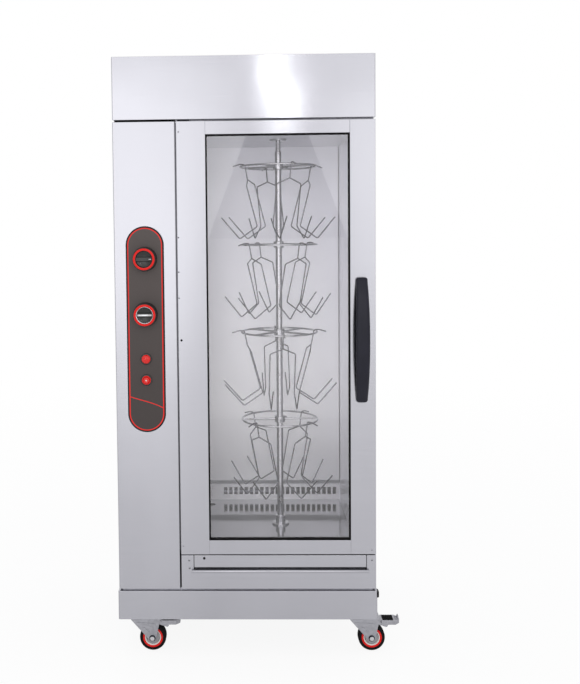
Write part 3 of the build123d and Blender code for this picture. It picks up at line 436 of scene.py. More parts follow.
def grey_core():
    return mottled("grey_core", (0.25, 0.25, 0.26, 1.0), (0.42, 0.42, 0.43, 1.0),
                   (70.0, 4.0), 0.42, 0.18, (700.0, 2.0), 0.08)


def pale_rim():
    return mottled("pale_rim", (0.58, 0.56, 0.52, 1.0), (0.80, 0.79, 0.75, 1.0),
                   (90.0, 4.0), 0.36, 0.2, (90.0, 4.0), 0.06)


def heat_sheath():
    return mottled("heat_sheath", (0.115, 0.095, 0.085, 1.0), (0.26, 0.215, 0.185, 1.0),
                   (55.0, 4.0), 0.45, 0.2, (55.0, 4.0), 0.2, metallic=0.7)


def motor_enamel():
    return mottled("motor_enamel", (0.045, 0.055, 0.065, 1.0), (0.085, 0.098, 0.11, 1.0),
                   (22.0, 4.0), 0.36, 0.16, (260.0, 2.0), 0.15, coat_weight=0.2)


def mineral_wool():
    finish = Finish("mineral_wool")
    fibres = finish.noise(1.0, 6.0, 0.7, (40.0, 190.0, 190.0))
    tone = finish.mix(fibres, (0.46, 0.40, 0.24, 1.0), (0.74, 0.68, 0.48, 1.0))
    return finish.surface(
        base_color=tone, roughness=0.95, normal=finish.bump(fibres, 4 * MM, 0.9))


def zinc_plate():
    finish = Finish("zinc_plate")
    spangle = finish.add("ShaderNodeTexVoronoi", {"Vector": finish.place, "Scale": 160.0}, "Color")
    patch = finish.add("ShaderNodeSeparateColor", {0: spangle})
    scuff = finish.noise(45.0, 4.0)
    zinc = colours().zinc
    return finish.surface(
        base_color=finish.mix(patch * 0.5 + scuff * 0.5, shade(zinc, 0.72), shade(zinc, 1.05)),
        metallic=1.0, roughness=0.30 + patch * 0.12 + scuff * 0.12,
        normal=finish.bump(scuff, 0.1 * MM, 0.35))


def control_foil():
    """Printed foil: a dark edge, a red line inside it and a red S line near the foot; the ground is
    darker towards its foot.
    """
    print_red, print_black = (0.80, 0.020, 0.014, 1.0), (0.006, 0.006, 0.007, 1.0)
    finish = Finish("control_foil")
    across = finish.part(finish.place, "X") - PLATE.x
    along = finish.part(finish.place, "Z") - PLATE.z
    radius = span("control_plate").x / 2
    straight = span("control_plate").z / 2 - radius
    past = (abs(along) - straight).at_least(0.0)
    distance = (across * across + past * past) ** 0.5
    cloud = finish.noise(9.0)
    panel = colours().panel
    ground = finish.mix(finish.step(along, -0.30, 0.30) * 0.85 + cloud * 0.15,
                        shade(panel, 0.66), shade(panel, 1.12))
    line_at = radius - 6.4 * MM
    border = finish.step(abs(distance - line_at), 1.2 * MM, 1.8 * MM, 1.0, 0.0)
    edge = finish.step(distance, radius - 5.0 * MM, radius - 4.6 * MM)
    sweep = -0.2170 - across * 0.30 - across * across * 0.9 - across * across * across * 19.0
    line = finish.step(abs(along - sweep), 1.0 * MM, 1.6 * MM, 1.0, 0.0)
    inside = finish.step(distance, radius - 7.2 * MM, line_at, 1.0, 0.0)
    tone = finish.mix(line * inside, ground, print_red)
    tone = finish.mix(border, tone, print_red)
    tone = finish.mix(edge, tone, print_black)
    return finish.surface(
        base_color=tone, roughness=0.42 + cloud * 0.12, specular_ior_level=0.25,
        normal=finish.bump(finish.noise(900.0, 2.0), 0.03 * MM, 0.4))


def clear_glass():
    """Tempered pane: clear, with a mirror gloss on its outer faces that grows at a slant."""
    finish = Finish("clear_glass")
    film = finish.noise(6.0, 4.0)
    gloss = finish.add("ShaderNodeBsdfGlossy", {"Color": WHITE, "Roughness": 0.02})
    through = finish.add("ShaderNodeBsdfTransparent", {"Color": (0.985, 0.98, 0.99, 1.0)})
    slant = finish.add("ShaderNodeFresnel", {"IOR": 1.95})
    leaving = finish.add("ShaderNodeNewGeometry", output="Backfacing")
    share = slant * (0.94 + film * 0.12) * (1 - leaving)
    return finish.close(finish.add("ShaderNodeMixShader", {0: share, 1: through, 2: gloss}))


def linked(name, data):
    """An object in the scene."""
    made = bpy.data.objects.new(name, data)
    bpy.context.scene.collection.objects.link(made)
    return made


def dress(maker, *names):
    """Give carried-over CAD nodes a finish."""
    for name in names:
        mesh = nodes[name].data
        mesh.materials.clear()
        mesh.materials.append(made_once(maker))


def settle(name, mesh, maker, body, slot, *replaced, smooth=True):
    """Make a piece of a finished mesh, let it ride on its body and stand for its CAD nodes."""
    mesh.name = name
    mesh.materials.clear()
    mesh.materials.append(made_once(maker))
    mesh.polygons.foreach_set("use_smooth", [smooth] * len(mesh.polygons))
    if smooth:
        mesh.set_sharp_from_angle(angle=SHARP_EDGE)
    piece = linked(name, mesh)
    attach(piece, body)
    if replaced:
        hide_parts(*replaced)


def mesh_of(shape, name):
    """A mesh of a bmesh, which is freed."""
    mesh = bpy.data.meshes.new(name)
    shape.to_mesh(mesh)
    shape.free()
    return mesh


def closed(shape, name):
    """A mesh of a bmesh with merged doubles and outward faces."""
    bmesh.ops.remove_doubles(shape, verts=shape.verts, dist=WELD)
    bmesh.ops.recalc_face_normals(shape, faces=shape.faces)
    return mesh_of(shape, name)


def plain_mesh(holder):
    """The plain mesh that a holder's modifiers make. The holder goes."""
    bpy.context.view_layer.update()
    ready = holder.evaluated_get(bpy.context.evaluated_depsgraph_get())
    made = bpy.data.meshes.new_from_object(ready)
    holder.modifiers.clear()
    bpy.data.objects.remove(holder)
    return made


def with_modifier(mesh, kind, **settings):
    """A plain mesh of what a modifier makes of another one."""
    holder = linked("holder", mesh)
    modifier = holder.modifiers.new(kind.lower(), kind)
    for key, value in settings.items():
        setattr(modifier, key, value)
    return plain_mesh(holder)


def eased(mesh, width, segments=2):
    """A copy of a mesh with its hard edges rounded."""
    return with_modifier(mesh, "BEVEL", width=width, segments=segments, limit_method="ANGLE",
                         angle_limit=EASED_EDGE)


def softened(node, width):
    """A merged copy of a CAD node with its edges eased."""
    shape = bmesh.new()
    shape.from_mesh(nodes[node].data)
    bmesh.ops.remove_doubles(shape, verts=shape.verts, dist=WELD)
    bmesh.ops.dissolve_limit(
        shape, angle_limit=FLAT_EDGE, verts=shape.verts, edges=shape.edges)
    return eased(mesh_of(shape, node), width)


def folded(names, ending, edge, maker, body, slot):
    """Let copies of CAD sheets with eased edges stand for them."""
    for name in names:
        settle(name + ending, softened(name, edge), maker, body, slot, name, smooth=False)


def joined(*meshes):
    """One mesh of several."""
    shape = bmesh.new()
    for mesh in meshes:
        shape.from_mesh(mesh)
    return mesh_of(shape, "joined")


def offsets(first, second, *pairs):
    """Points so many millimetres on from two values, such as a radius and a level."""
    return [(first + on * MM, second + up * MM) for on, up in pairs]


def two_faced(half, points):
    """A ring's profile with two like faces, of points of (radius, depth below a face)."""
    near = [(radius, depth - half) for radius, depth in points]
    return near + [(radius, -level) for radius, level in reversed(near)]


def turned(profile, centre, axis, steps, ring=False):
    """A profile of (radius, level) pairs spun round an axis; a ring's profile is closed first."""
    turn = Vector(UP).rotation_difference(Vector(axis)).to_matrix()
    shape = bmesh.new()
    rings = []
    for radius, level in profile + (profile[:1] if ring else []):
        if radius < WELD:
            spots = [Vector((0, 0, level))]
        else:
            angles = [FULL_TURN * step / steps for step in range(steps)]
            spots = [Vector((radius * math.cos(a), radius * math.sin(a), level)) for a in angles]
        rings.append([shape.verts.new(Vector(centre) + turn @ spot) for spot in spots])
    for lower, upper in zip(rings, rings[1:]):
        for step in range(steps):
            after = (step + 1) % steps
            corners = [lower[step % len(lower)], lower[after % len(lower)],
                       upper[after % len(upper)], upper[step % len(upper)]]
            corners = list(dict.fromkeys(corners))
            if len(corners) > 2:
                shape.faces.new(corners)
    return closed(shape, "turned")


def pin(radius, half, centre, steps):
    """A plain pin across the cabinet's depth."""
    profile = [(0.0, -half), (radius, -half), (radius, half), (0.0, half)]
    return turned(profile, centre, BACK, steps)


def circle(x, z, radius, steps):
    """Points on a circle."""
    angles = [FULL_TURN * step / steps for step in range(steps)]
    return [(x + radius * math.cos(a), z + radius * math.sin(a)) for a in angles]


def discs(x, z, *spots):
    """Points on circles of (right, up, radius, steps), in millimetres from a place."""
    return [point for right, up, radius, steps in spots
            for point in circle(x + right * MM, z + up * MM, radius * MM, steps)]


def rectangle(x0, z0, x1, z1):
    return [(x0, z0), (x1, z0), (x1, z1), (x0, z1)]


def hull_outline(points):
    """Corners of the smallest convex outline round some points."""
    ordered = sorted(set(points))

    def half(run):
        chain = []
        for spot in run:
            while len(chain) > 1:
                (ax, az), (bx, bz) = chain[-2], chain[-1]
                if (bx - ax) * (spot[1] - az) - (bz - az) * (spot[0] - ax) > 0:
                    break
                chain.pop()
            chain.append(spot)
        return chain[:-1]

    return half(ordered) + half(ordered[::-1])


def plate_mesh(outline, y0, y1, ease=0.0, segments=2):
    """A flat plate of an outline in X and Z, between two depths, with its edges eased."""
    shape = bmesh.new()
    face = shape.faces.new([shape.verts.new((x, y0, z)) for x, z in outline])
    lifted = bmesh.ops.extrude_face_region(shape, geom=[face])["geom"]
    moved = [part for part in lifted if isinstance(part, bmesh.types.BMVert)]
    bmesh.ops.translate(shape, verts=moved, vec=(0, y1 - y0, 0))
    plate = closed(shape, "plate")
    return eased(plate, ease * MM, segments) if ease else plate


def geometry_tree(name, **sockets):
    """An empty geometry tree with named inputs, and the signals of its inputs."""
    tree = bpy.data.node_groups.new(name, "GeometryNodeTree")
    tree.interface.new_socket("Geometry", in_out="OUTPUT", socket_type="NodeSocketGeometry")
    for label, kind in sockets.items():
        tree.interface.new_socket(label, in_out="INPUT", socket_type="NodeSocket" + kind)
    sheet = NodeSheet(tree)
    return sheet, {label: sheet.add("NodeGroupInput", output=label) for label in sockets}


def close_tree(sheet, geometry, material):
    """End a geometry tree: real mesh, then its material."""
    real = sheet.add("GeometryNodeRealizeInstances", {"Geometry": geometry})
    dressed = sheet.add("GeometryNodeSetMaterial", {"Geometry": real, "Material": material})
    sheet.add("NodeGroupOutput", {0: dressed})
    return sheet.tree


def hoop(sheet, radius, steps):
    """A round curve."""
    return sheet.add("GeometryNodeCurvePrimitiveCircle", {"Resolution": steps, "Radius": radius},
                     mode="RADIUS")


def round_rod(sheet, curve, diameter, sides):
    """A rod of round section along a curve."""
    section = hoop(sheet, diameter * 0.5, sides)
    return sheet.add("GeometryNodeCurveToMesh", {
        "Curve": curve, "Profile Curve": section, "Fill Caps": True})


def round_axis(sheet, geometry, copies, first):
    """Copies of a geometry, evenly spread round the Z axis from a first angle."""
    spots = sheet.add("GeometryNodePoints", {"Count": copies})
    angle = first + sheet.add("GeometryNodeInputIndex") * FULL_TURN / copies
    turn = sheet.add("ShaderNodeCombineXYZ", {"Z": angle})
    rotation = sheet.add("FunctionNodeEulerToRotation", {0: turn})
    return sheet.add("GeometryNodeInstanceOnPoints", {
        "Points": spots, "Instance": geometry, "Rotation": rotation})


def moved_to(sheet, geometry, place):
    return sheet.add("GeometryNodeTransform", {"Geometry": geometry, "Translation": place})


def wire_tree():
    """Bent wires along the edges of a mesh, copied round an axis."""
    sheet, given = geometry_tree(
        "bent_wires", Path="Geometry", Wire="Float", Bend="Float", Copies="Int", Angle="Float",
        Axis="Vector", Finish="Material")
    curve = sheet.add("GeometryNodeMeshToCurve", {"Mesh": given["Path"]})
    bent = sheet.add("GeometryNodeFilletCurve", {
        "Curve": curve, "Count": 5, "Radius": given["Bend"], "Limit Radius": True}, mode="POLY")
    wire = round_rod(sheet, bent, given["Wire"], 10)
    copies = round_axis(sheet, wire, given["Copies"], given["Angle"])
    return close_tree(sheet, moved_to(sheet, copies, given["Axis"]), given["Finish"])


def ring_tree():
    """A ring of round rod with straight spokes to its hub."""
    sheet, given = geometry_tree(
        "spoked_ring", Path="Geometry", Radius="Float", Hub="Float", Rod="Float", Spokes="Int",
        Angle="Float", Axis="Vector", Finish="Material")
    ring = round_rod(sheet, hoop(sheet, given["Radius"], 96), given["Rod"], 12)
    start, end = [sheet.add("ShaderNodeCombineXYZ", {"X": given[label]})
                  for label in ("Hub", "Radius")]
    line = sheet.add("GeometryNodeCurvePrimitiveLine", {"Start": start, "End": end}, mode="POINTS")
    spoke = round_rod(sheet, line, given["Rod"], 10)
    spokes = round_axis(sheet, spoke, given["Spokes"], given["Angle"])
    both = sheet.add("GeometryNodeJoinGeometry", {0: [spokes, ring]})
    return close_tree(sheet, moved_to(sheet, both, given["Axis"]), given["Finish"])


def set_out_tree():
    """One small shape set out on marked points, each facing the way that its mark says."""
    sheet, given = geometry_tree(
        "set_out", Marks="Geometry", Shape="Object", Scale="Float", Finish="Material")
    shape = sheet.add("GeometryNodeObjectInfo", {"Object": given["Shape"]}, "Geometry")
    facing = sheet.add("GeometryNodeInputNamedAttribute", {"Name": "facing"}, "Attribute",
                       data_type="FLOAT_VECTOR")
    rotation = sheet.add("FunctionNodeAlignRotationToVector", {"Vector": facing}, axis="Z")
    size = sheet.add("ShaderNodeCombineXYZ", {axis: given["Scale"] for axis in "XYZ"})
    spots = sheet.add("GeometryNodeMeshToPoints", {"Mesh": given["Marks"]}, mode="VERTICES")
    placed = sheet.add("GeometryNodeInstanceOnPoints", {
        "Points": spots, "Instance": shape, "Rotation": rotation, "Scale": size})
    return close_tree(sheet, placed, given["Finish"])


def grown(tree, source, **values):
    """The plain mesh that a geometry tree makes of a source mesh."""
    holder = linked("holder", source)
    modifier = holder.modifiers.new("tree", "NODES")
    modifier.node_group = tree
    for item in tree.interface.items_tree:
        if item.in_out == "INPUT" and item.name in values:
            modifier[item.identifier] = values[item.name]
    return plain_mesh(holder)


def path_mesh(*runs):
    """A mesh of edges along some runs of points."""
    points, edges = [], []
    for run in runs:
        first = len(points)
        edges += [(first + i, first + i + 1) for i in range(len(run) - 1)]
        points += run
    mesh = bpy.data.meshes.new("path")
    mesh.from_pydata(points, edges, [])
    return mesh


def set_out(shape_mesh, marks, scale, maker):
    """A mesh of one shape set out on (place, facing) marks."""
    shape = linked("shape", shape_mesh)
    mesh = bpy.data.meshes.new("marks")
    mesh.from_pydata([place for place, _ in marks], [], [])
    facing = mesh.attributes.new("facing", "FLOAT_VECTOR", "POINT")
    facing.data.foreach_set("vector", [part for _, way in marks for part in way])
    made = grown(made_once(set_out_tree), mesh, Shape=shape, Scale=scale, Finish=made_once(maker))
    bpy.data.objects.remove(shape)
    return made


def screw_shape():
    """A domed screw head, one unit across, and its cross recess."""
    dome = [(0.0, 0.24), (0.16, 0.235), (0.30, 0.20), (0.42, 0.12), (0.49, 0.03), (0.5, 0.0),
            (0.0, 0.0)]
    recess = joined(plate_mesh(rectangle(-0.30, -0.045, 0.30, 0.045), -0.246, -0.18),
                    plate_mesh(rectangle(-0.045, -0.30, 0.045, 0.30), -0.2455, -0.18))
    recess.transform(Matrix.Rotation(math.radians(-90.0), 4, "X"))
    return turned(dome, (0, 0, 0), UP, 20), recess


def hood_shape(width, height, reach):
    """A louvre hood: a bent sheet that leans off the panel over its slot."""
    half, top = width / 2, height * 0.9
    section = [(-height, 0.0), (-height * 0.4, reach * 0.75), (height * 0.25, reach), (top, reach)]
    shape = bmesh.new()
    rows = [[shape.verts.new((x, y, z)) for y, z in section] for x in (-half, half)]
    for i in range(len(section) - 1):
        shape.faces.new((rows[0][i], rows[1][i], rows[1][i + 1], rows[0][i + 1]))
    for row in rows:
        shape.faces.new(row + [shape.verts.new((row[0].co.x, top, 0.0))])
    return with_modifier(closed(shape, "hood"), "SOLIDIFY", thickness=1.2 * MM, offset=-1.0)


class DressCabinet(bpy.types.Operator):
    """Outer panels of the cabinet with eased folds and satin steel"""

    bl_idname = "rotisserie.cabinet"
    bl_label = "Cabinet panels"

    def execute(self, context):
        edge = sizes().sheet_edge
        panels = ("control_column_cover", "plinth", "lower_front_rail", "left_side_panel",
                  "right_side_panel", "back_panel")
        folded(panels, "_folded", edge, satin_sheet, "cabinet", "satin_steel")
        folded(("header_cap",), "_folded", edge, header_sheet, "cabinet", "satin_steel")
        dress(satin_sheet, "front_frame")
        dress(zinc_plate, "drawer_runners")
        dress(black_moulding, "door_pivots")
        return {"FINISHED"}


class DressChamber(bpy.types.Operator):
    """Walls of the chamber, the slots at its back and the heating elements"""

    bl_idname = "rotisserie.chamber"
    bl_label = "Chamber"

    def execute(self, context):
        dress(chamber_sheet, "chamber_ceiling", "heater_reflector")
        dress(side_sheet, "chamber_right_wall")
        dress(wiped_floor, "chamber_floor")
        folded(("chamber_back_wall", "back_baffle"), "_pressed", 0.4 * MM, chamber_sheet,
               "cabinet", "chamber_steel")
        self.elements()
        dress(mineral_wool, "insulation")
        dress(motor_enamel, "gear_motor")
        dress(black_moulding, "control_bodies")
        return {"FINISHED"}

    def elements(self):
        """Three hairpins side by side on the left wall."""
        pitch, half, sheath = 142 * MM, 28 * MM, 8.5 * MM
        low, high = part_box("heating_elements")
        x, y = (low.x + high.x) / 2, (low.y + high.y) / 2
        foot = low.z + sheath / 2
        runs = []
        for count in (-1, 0, 1):
            near, far = [y + count * pitch + side * half for side in SIDES]
            runs.append([(x, near, high.z), (x, near, foot), (x, far, foot), (x, far, high.z)])
        hairpins = grown(
            made_once(wire_tree), path_mesh(*runs), Wire=sheath, Bend=sizes().element_bend,
            Copies=1, Angle=0.0, Axis=(0.0, 0.0, 0.0), Finish=made_once(heat_sheath))
        settle("element_hairpins", hairpins, heat_sheath, "cabinet", "element_sheath",
               "heating_elements")


class DressRotor(bpy.types.Operator):
    """Turning tube, spoked rings and the hanging wire forks"""

    bl_idname = "rotisserie.rotor"
    bl_label = "Rotor"

    def execute(self, context):
        tube, spindle = sizes().tube / 2, sizes().spindle / 2
        tube_top = 1558 * MM
        foot = (SHAFT.x, SHAFT.y, 0.0)
        low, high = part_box("rotor_shaft")
        shaft = turned(
            [(0.0, low.z)] + offsets(tube, low.z, (-1, 0), (0, 1))
            + offsets(tube, tube_top, (0, -1.5), (-1.5, 0)) + [(spindle, tube_top)]
            + offsets(spindle, high.z, (0, -1), (-1, 0)) + [(0.0, high.z)], foot, UP, 40)
        settle("turning_tube", shaft, bright_rod, "rotor", "bright_wire", "rotor_shaft")
        low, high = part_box("rotor_bearings")
        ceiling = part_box("chamber_ceiling")[0].z
        bore, tube_bore = spindle + RUNNING_FIT, tube + RUNNING_FIT
        upper = turned(
            offsets(bore, ceiling, (0, -6))
            + offsets(0.0, ceiling, (26, -6), (28, -4), (28, 0), (13, 0))
            + offsets(0.0, high.z, (13, 0)) + [(bore, high.z)], foot, UP, 48, ring=True)
        lower = turned(
            offsets(0.0, low.z, (0, 0), (28, 0), (28, 4), (26, 6), (16, 6), (16, 28), (14, 30))
            + offsets(tube_bore, low.z, (0, 30), (0, 3)) + offsets(0.0, low.z, (0, 3)),
            foot, UP, 48)
        settle("shaft_bearings", joined(upper, lower), bright_rod, "cabinet", "bright_wire",
               "rotor_bearings")
        for tier, angle in enumerate(TIER_ANGLES, 1):
            self.tier(tier, math.radians(angle))
        return {"FINISHED"}

    def tier(self, tier, angle):
        """A ring on its hub, with a set screw, and the forks that hang on it."""
        name, rod = "tier_ring_%d" % tier, sizes().ring_rod
        place = (SHAFT.x, SHAFT.y, middle(name).z)
        radius = span(name).x / 2 - rod / 2
        bore, hub = sizes().tube / 2 + RUNNING_FIT, 17 * MM
        ring = grown(
            made_once(ring_tree), bpy.data.meshes.new("none"), Radius=radius, Hub=bore + 3 * MM,
            Rod=rod, Spokes=SPOKES_PER_RING, Angle=angle + math.pi / SPOKES_PER_RING, Axis=place,
            Finish=made_once(bright_rod))
        collar = two_faced(11 * MM, [(bore, 0.0)] + offsets(hub, 0.0, (-1.5, 0), (0, 1.5)))
        screw = turned(
            offsets(0.0, hub, (0, -2), (3, -2))
            + offsets(0.0, bore, (3, 17), (5.5, 17), (5.5, 21.4), (5, 22), (0, 22)),
            place, (math.cos(angle), math.sin(angle), 0.0), 6)
        spoked = joined(ring, turned(collar, place, UP, 40, ring=True), screw)
        settle("spoked_ring_%d" % tier, spoked, bright_rod, "rotor", "bright_wire", name)
        forks = grown(
            made_once(wire_tree), path_mesh(*self.fork_runs(radius)), Wire=sizes().fork_wire,
            Bend=sizes().wire_bend, Copies=FORKS_PER_TIER, Angle=angle, Axis=place,
            Finish=made_once(dark_wire))
        settle("wire_forks_%d" % tier, forks, dark_wire, "rotor", "bright_wire",
               "tier_forks_%d" % tier)

    def fork_runs(self, ring):
        """The two wires of one fork: the hook with its stem, and the legs with their prongs."""
        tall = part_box("chamber_ceiling")[0].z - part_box("chamber_floor")[1].z
        wire = sizes().fork_wire
        rise = sizes().ring_rod / 2 + wire / 2 + 0.3 * MM
        over, half = 8.5 * MM, 41 * MM
        stem, z_stem = ring - over - 10 * MM, rise - tall * 0.0383
        side = []
        x, z = stem, z_stem
        # shoulder, knee, foot and tip: steps outwards, and upwards as a share of the chamber
        for out, up in ((-10 * MM, -0.0141), (-0.29 * ring, -0.1047), (0.49 * ring, -0.032),
                        (0.50 * ring, 0.0547)):
            x, z = x + out, z + tall * up
            side.append((x, z))
        hook = [(ring + 31.5 * MM, 0.0, rise - 7 * MM), (ring + over, 0.0, rise),
                (ring - over, 0.0, rise), (stem, 0.0, z_stem - wire * 0.4)]
        legs = ([(x, -half, z) for x, z in reversed(side)] + [(stem, 0.0, z_stem)]
                + [(x, half, z) for x, z in side])
        return hook, legs


class DressDoor(bpy.types.Operator):
    """Door frame, pane, gasket, seal and the bow handle"""

    bl_idname = "rotisserie.door"
    bl_label = "Door"

    def execute(self, context):
        frame_parts = ("door_left_stile", "door_right_stile", "door_top_rail", "door_bottom_rail")
        folded(frame_parts, "_folded", sizes().sheet_edge, satin_sheet, "door", "satin_steel")
        dress(clear_glass, "door_glass")
        dress(soft_rubber, "glazing_gasket", "door_seal")
        settle("bow_handle", self.handle(), black_moulding, "door", "black_plastic", "door_handle")
        return {"FINISHED"}

    def handle(self):
        """A bow with a crowned section, widest in its middle, that ends on the door's face."""
        thick, corner, foot_flare = 16 * MM, 7 * MM, 60 * MM
        waist, bow, foot_from = 0.82, 0.70, 0.80
        sides, count = 28, 60
        low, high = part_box("door_handle")
        centre, half = middle("door_handle"), span("door_handle") / 2
        shape = bmesh.new()
        rings = []
        for i in range(count + 1):
            t = math.sin(math.pi * (i / count - 0.5))
            left = half.z * (1 - abs(t))
            rounding = 1 - math.sqrt(max(0.0, 1 - (1 - min(1.0, left / corner)) ** 2))
            wide = half.x * (waist + (1 - waist) * math.cos(t * math.pi / 2)) - corner * rounding
            outer = low.y + 2 * half.y * bow * abs(t) ** 2.4 + corner * 0.5 * rounding
            inner = min(high.y, outer + thick + max(0.0, abs(t) - foot_from) * foot_flare)
            ring = []
            for across, out in circle(0.0, 0.0, 1.0, sides):
                u = math.copysign(abs(across) ** 0.6, across)
                v = math.copysign(abs(out) ** 0.8, out)
                y = (outer + inner) / 2 + (inner - outer) / 2 * v
                ring.append(shape.verts.new((centre.x + wide * u, y, centre.z + half.z * t)))
            rings.append(ring)
        for lower, upper in zip(rings, rings[1:]):
            for j in range(sides):
                after = (j + 1) % sides
                shape.faces.new((lower[j], lower[after], upper[after], upper[j]))
        shape.faces.new(rings[0])
        shape.faces.new(rings[-1])
        return closed(shape, "handle")


class DressDrawer(bpy.types.Operator):
    """Drip drawer: folded front and pan"""

    bl_idname = "rotisserie.drawer"
    bl_label = "Drip drawer"

    def execute(self, context):
        folded(("drawer_front",), "_folded", sizes().sheet_edge, satin_sheet, "drawer",
               "satin_steel")
        low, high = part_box("drawer_front")
        roll = plate_mesh(discs(low.y, low.z, (3, 20, 4.5, 32)), -high.x, -low.x, 1.2)
        roll.transform(Matrix.Rotation(math.radians(90.0), 4, "Z"))
        settle("drawer_lip_roll", roll, satin_sheet, "drawer", "satin_steel")
        folded(("drip_pan",), "_pressed", 0.5 * MM, pan_sheet, "drawer", "chamber_steel")
        return {"FINISHED"}


class DressControls(bpy.types.Operator):
    """Control plate, knobs with red rings, lamp and push button"""

    bl_idname = "rotisserie.controls"
    bl_label = "Controls"

    def execute(self, context):
        folded(("control_plate",), "_foil", 0.5 * MM, control_foil, "cabinet", "panel_grey")
        for level in ("upper", "lower"):
            self.knob(level)
        self.lamp_and_button()
        return {"FINISHED"}

    def knob(self, level):
        """A dished knob on its stem, with a pointer bar, a red ring and a pale mark."""
        node, trim = "knob_" + level, "knob_ring_" + level
        low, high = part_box(node)
        centre = middle(trim)
        place = (centre.x, 0.0, centre.z)
        root, face, end = MM - PLATE_FACE, -low.y, -high.y
        skirt, dish, shoulder = (high.x - low.x) / 2, 25.2 * MM, 1.6 * MM
        outer = span(trim).x / 2 + shoulder
        body = turned(
            [(0.0, root)] + offsets(skirt, root, (-1, 0), (0, 1), (-0.4, 4))
            + offsets(outer, face, (0.4, -8), (-0.4, -2.6), (-1.8, -1.6), (-3.4, -0.6))
            + offsets(dish, face, (0, -0.6), (-0.6, -1.2), (-1.6, -6), (-3, -7))
            + offsets(0.0, face, (0, -7)), place, FRONT, 72)
        stem = turned([(0.0, root), (3 * MM, root), (3 * MM, end), (0.0, end)], place, FRONT, 20)
        inset, half = 0.985, 7.2 * MM
        ends = [spot for spot in circle(0.0, 0.0, dish * inset, 96) if abs(spot[1]) <= half * inset]
        outline = [(centre.x + x, centre.z + z) for x, z in hull_outline(ends)]
        bar = plate_mesh(outline, low.y + 1.2 * MM, low.y + 7.5 * MM, 2.6, 4)
        settle("knob_body_" + level, joined(body, stem, bar), knob_black, node, "black_plastic",
               node)
        ring = turned(
            offsets(dish, face, (0.2, -1.4), (0.6, -0.5), (2, -0.05))
            + offsets(outer, face, (-4, -0.05), (-2.2, -0.9), (-1.7, -2.2), (-2.6, -2.2))
            + offsets(dish, face, (0.4, -2.2)), place, FRONT, 72, ring=True)
        settle("knob_trim_" + level, ring, red_gloss, node, "red_trim", trim)
        upper = level == "upper"
        mark = rectangle(14, -0.8, 22, 0.8) if upper else rectangle(-21, -2.4, 21, 2.4)
        marks = [plate_mesh(offsets(centre.x, centre.z, *mark), low.y + MM, low.y + 1.5 * MM, 0.1)]
        if not upper:
            band = offsets(dish, face, (-2.2, -2.4), (-0.6, -0.7), (0.4, -0.7), (0.4, -2.4))
            marks.append(turned(band, place, FRONT, 72, ring=True))
        settle("knob_mark_" + level, joined(*marks), bright_rod, node, "bright_wire")

    def lamp_and_button(self):
        """Two like housings: one with a domed lens, one with a red collar and a dished button."""
        low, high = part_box("pilot_lights")
        x = (low.x + high.x) / 2
        housing, bezel = 15 * MM, 17 * MM
        lamp, button = (x, 0.0, high.z - housing), (x, 0.0, low.z + housing)
        seat, rim = -PLATE_FACE, 4 * MM - PLATE_FACE
        housings = [turned(
            [(bezel, seat)] + offsets(bezel, rim, (0, -1.2), (-1, -0.2), (-2, 0))
            + offsets(0.0, rim, (hole, 0)) + offsets(0.0, seat, (hole, -0.4), (11, -0.4))
            + offsets(0.0, -high.y, (11, 0), (0, 0)), place, FRONT, 48)
            for place, hole in ((lamp, 11.6), (button, 9.6))]
        settle("pilot_housings", joined(*housings), knob_black, "cabinet", "black_plastic",
               "pilot_lights")
        arc = [math.radians(90.0 * i / 8) for i in range(9)]
        dome = [(13.4 * math.cos(a), 1 + 7 * math.sin(a)) for a in arc]
        lens = turned(offsets(0.0, rim, (13.4, 0), *dome, (0, 0)), lamp, FRONT, 48)
        settle("lamp_lens", lens, lamp_red, "cabinet", "red_lens")
        collar = turned(
            offsets(0.0, rim, (9.8, 0), (13.4, 0), (13.4, 1.4), (12.4, 2.4), (10.2, 2.4), (9.8, 2)),
            button, FRONT, 48, ring=True)
        settle("button_collar", collar, red_gloss, "cabinet", "red_trim")
        low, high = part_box("push_button")
        top = -low.y
        cap = turned(
            offsets(0.0, -high.y, (0, 0), (9.4, 0))
            + offsets(0.0, top, (9.4, -3), (8.9, -1.4), (7.8, -0.5), (5, -0.35), (2.6, -0.9),
                      (0, -1)), button, FRONT, 48)
        settle("button_cap", cap, lamp_red, "button", "red_lens", "push_button")
        # painted highlight: a pale dot at the button's centre stands in for a glint
        glint_dot = offsets(0.0, top, (0, -1.2), (2, -1.2), (2.2, -0.7), (1.6, -0.4), (0, -0.35))
        settle("button_dot", turned(glint_dot, button, FRONT, 24), pale_rim, "button", "red_lens")


WHEEL_PIECES = (
    # name, finish, slot, and points of (radius, depth below a face) from the bore outwards
    ("tyre", soft_rubber, "caster_tyre", ((31, 0.6), (35, 0), (39, 0.8), (40.5, 3), (41, 6))),
    ("ring", red_gloss, "red_trim", ((24.4, 1.8), (25.6, 0.9), (30.4, 0.3), (31.2, 1.0))),
    ("rim", pale_rim, "caster_tyre", ((21.4, 3.4), (22.4, 1.9), (24.6, 1.2), (25.2, 1.6))),
    ("core", grey_core, "caster_tyre", (
        (4.6, 0), (12, 0), (13, 1), (13.5, 5), (19.6, 5.5), (20.8, 3.2), (22, 3.2))),
)


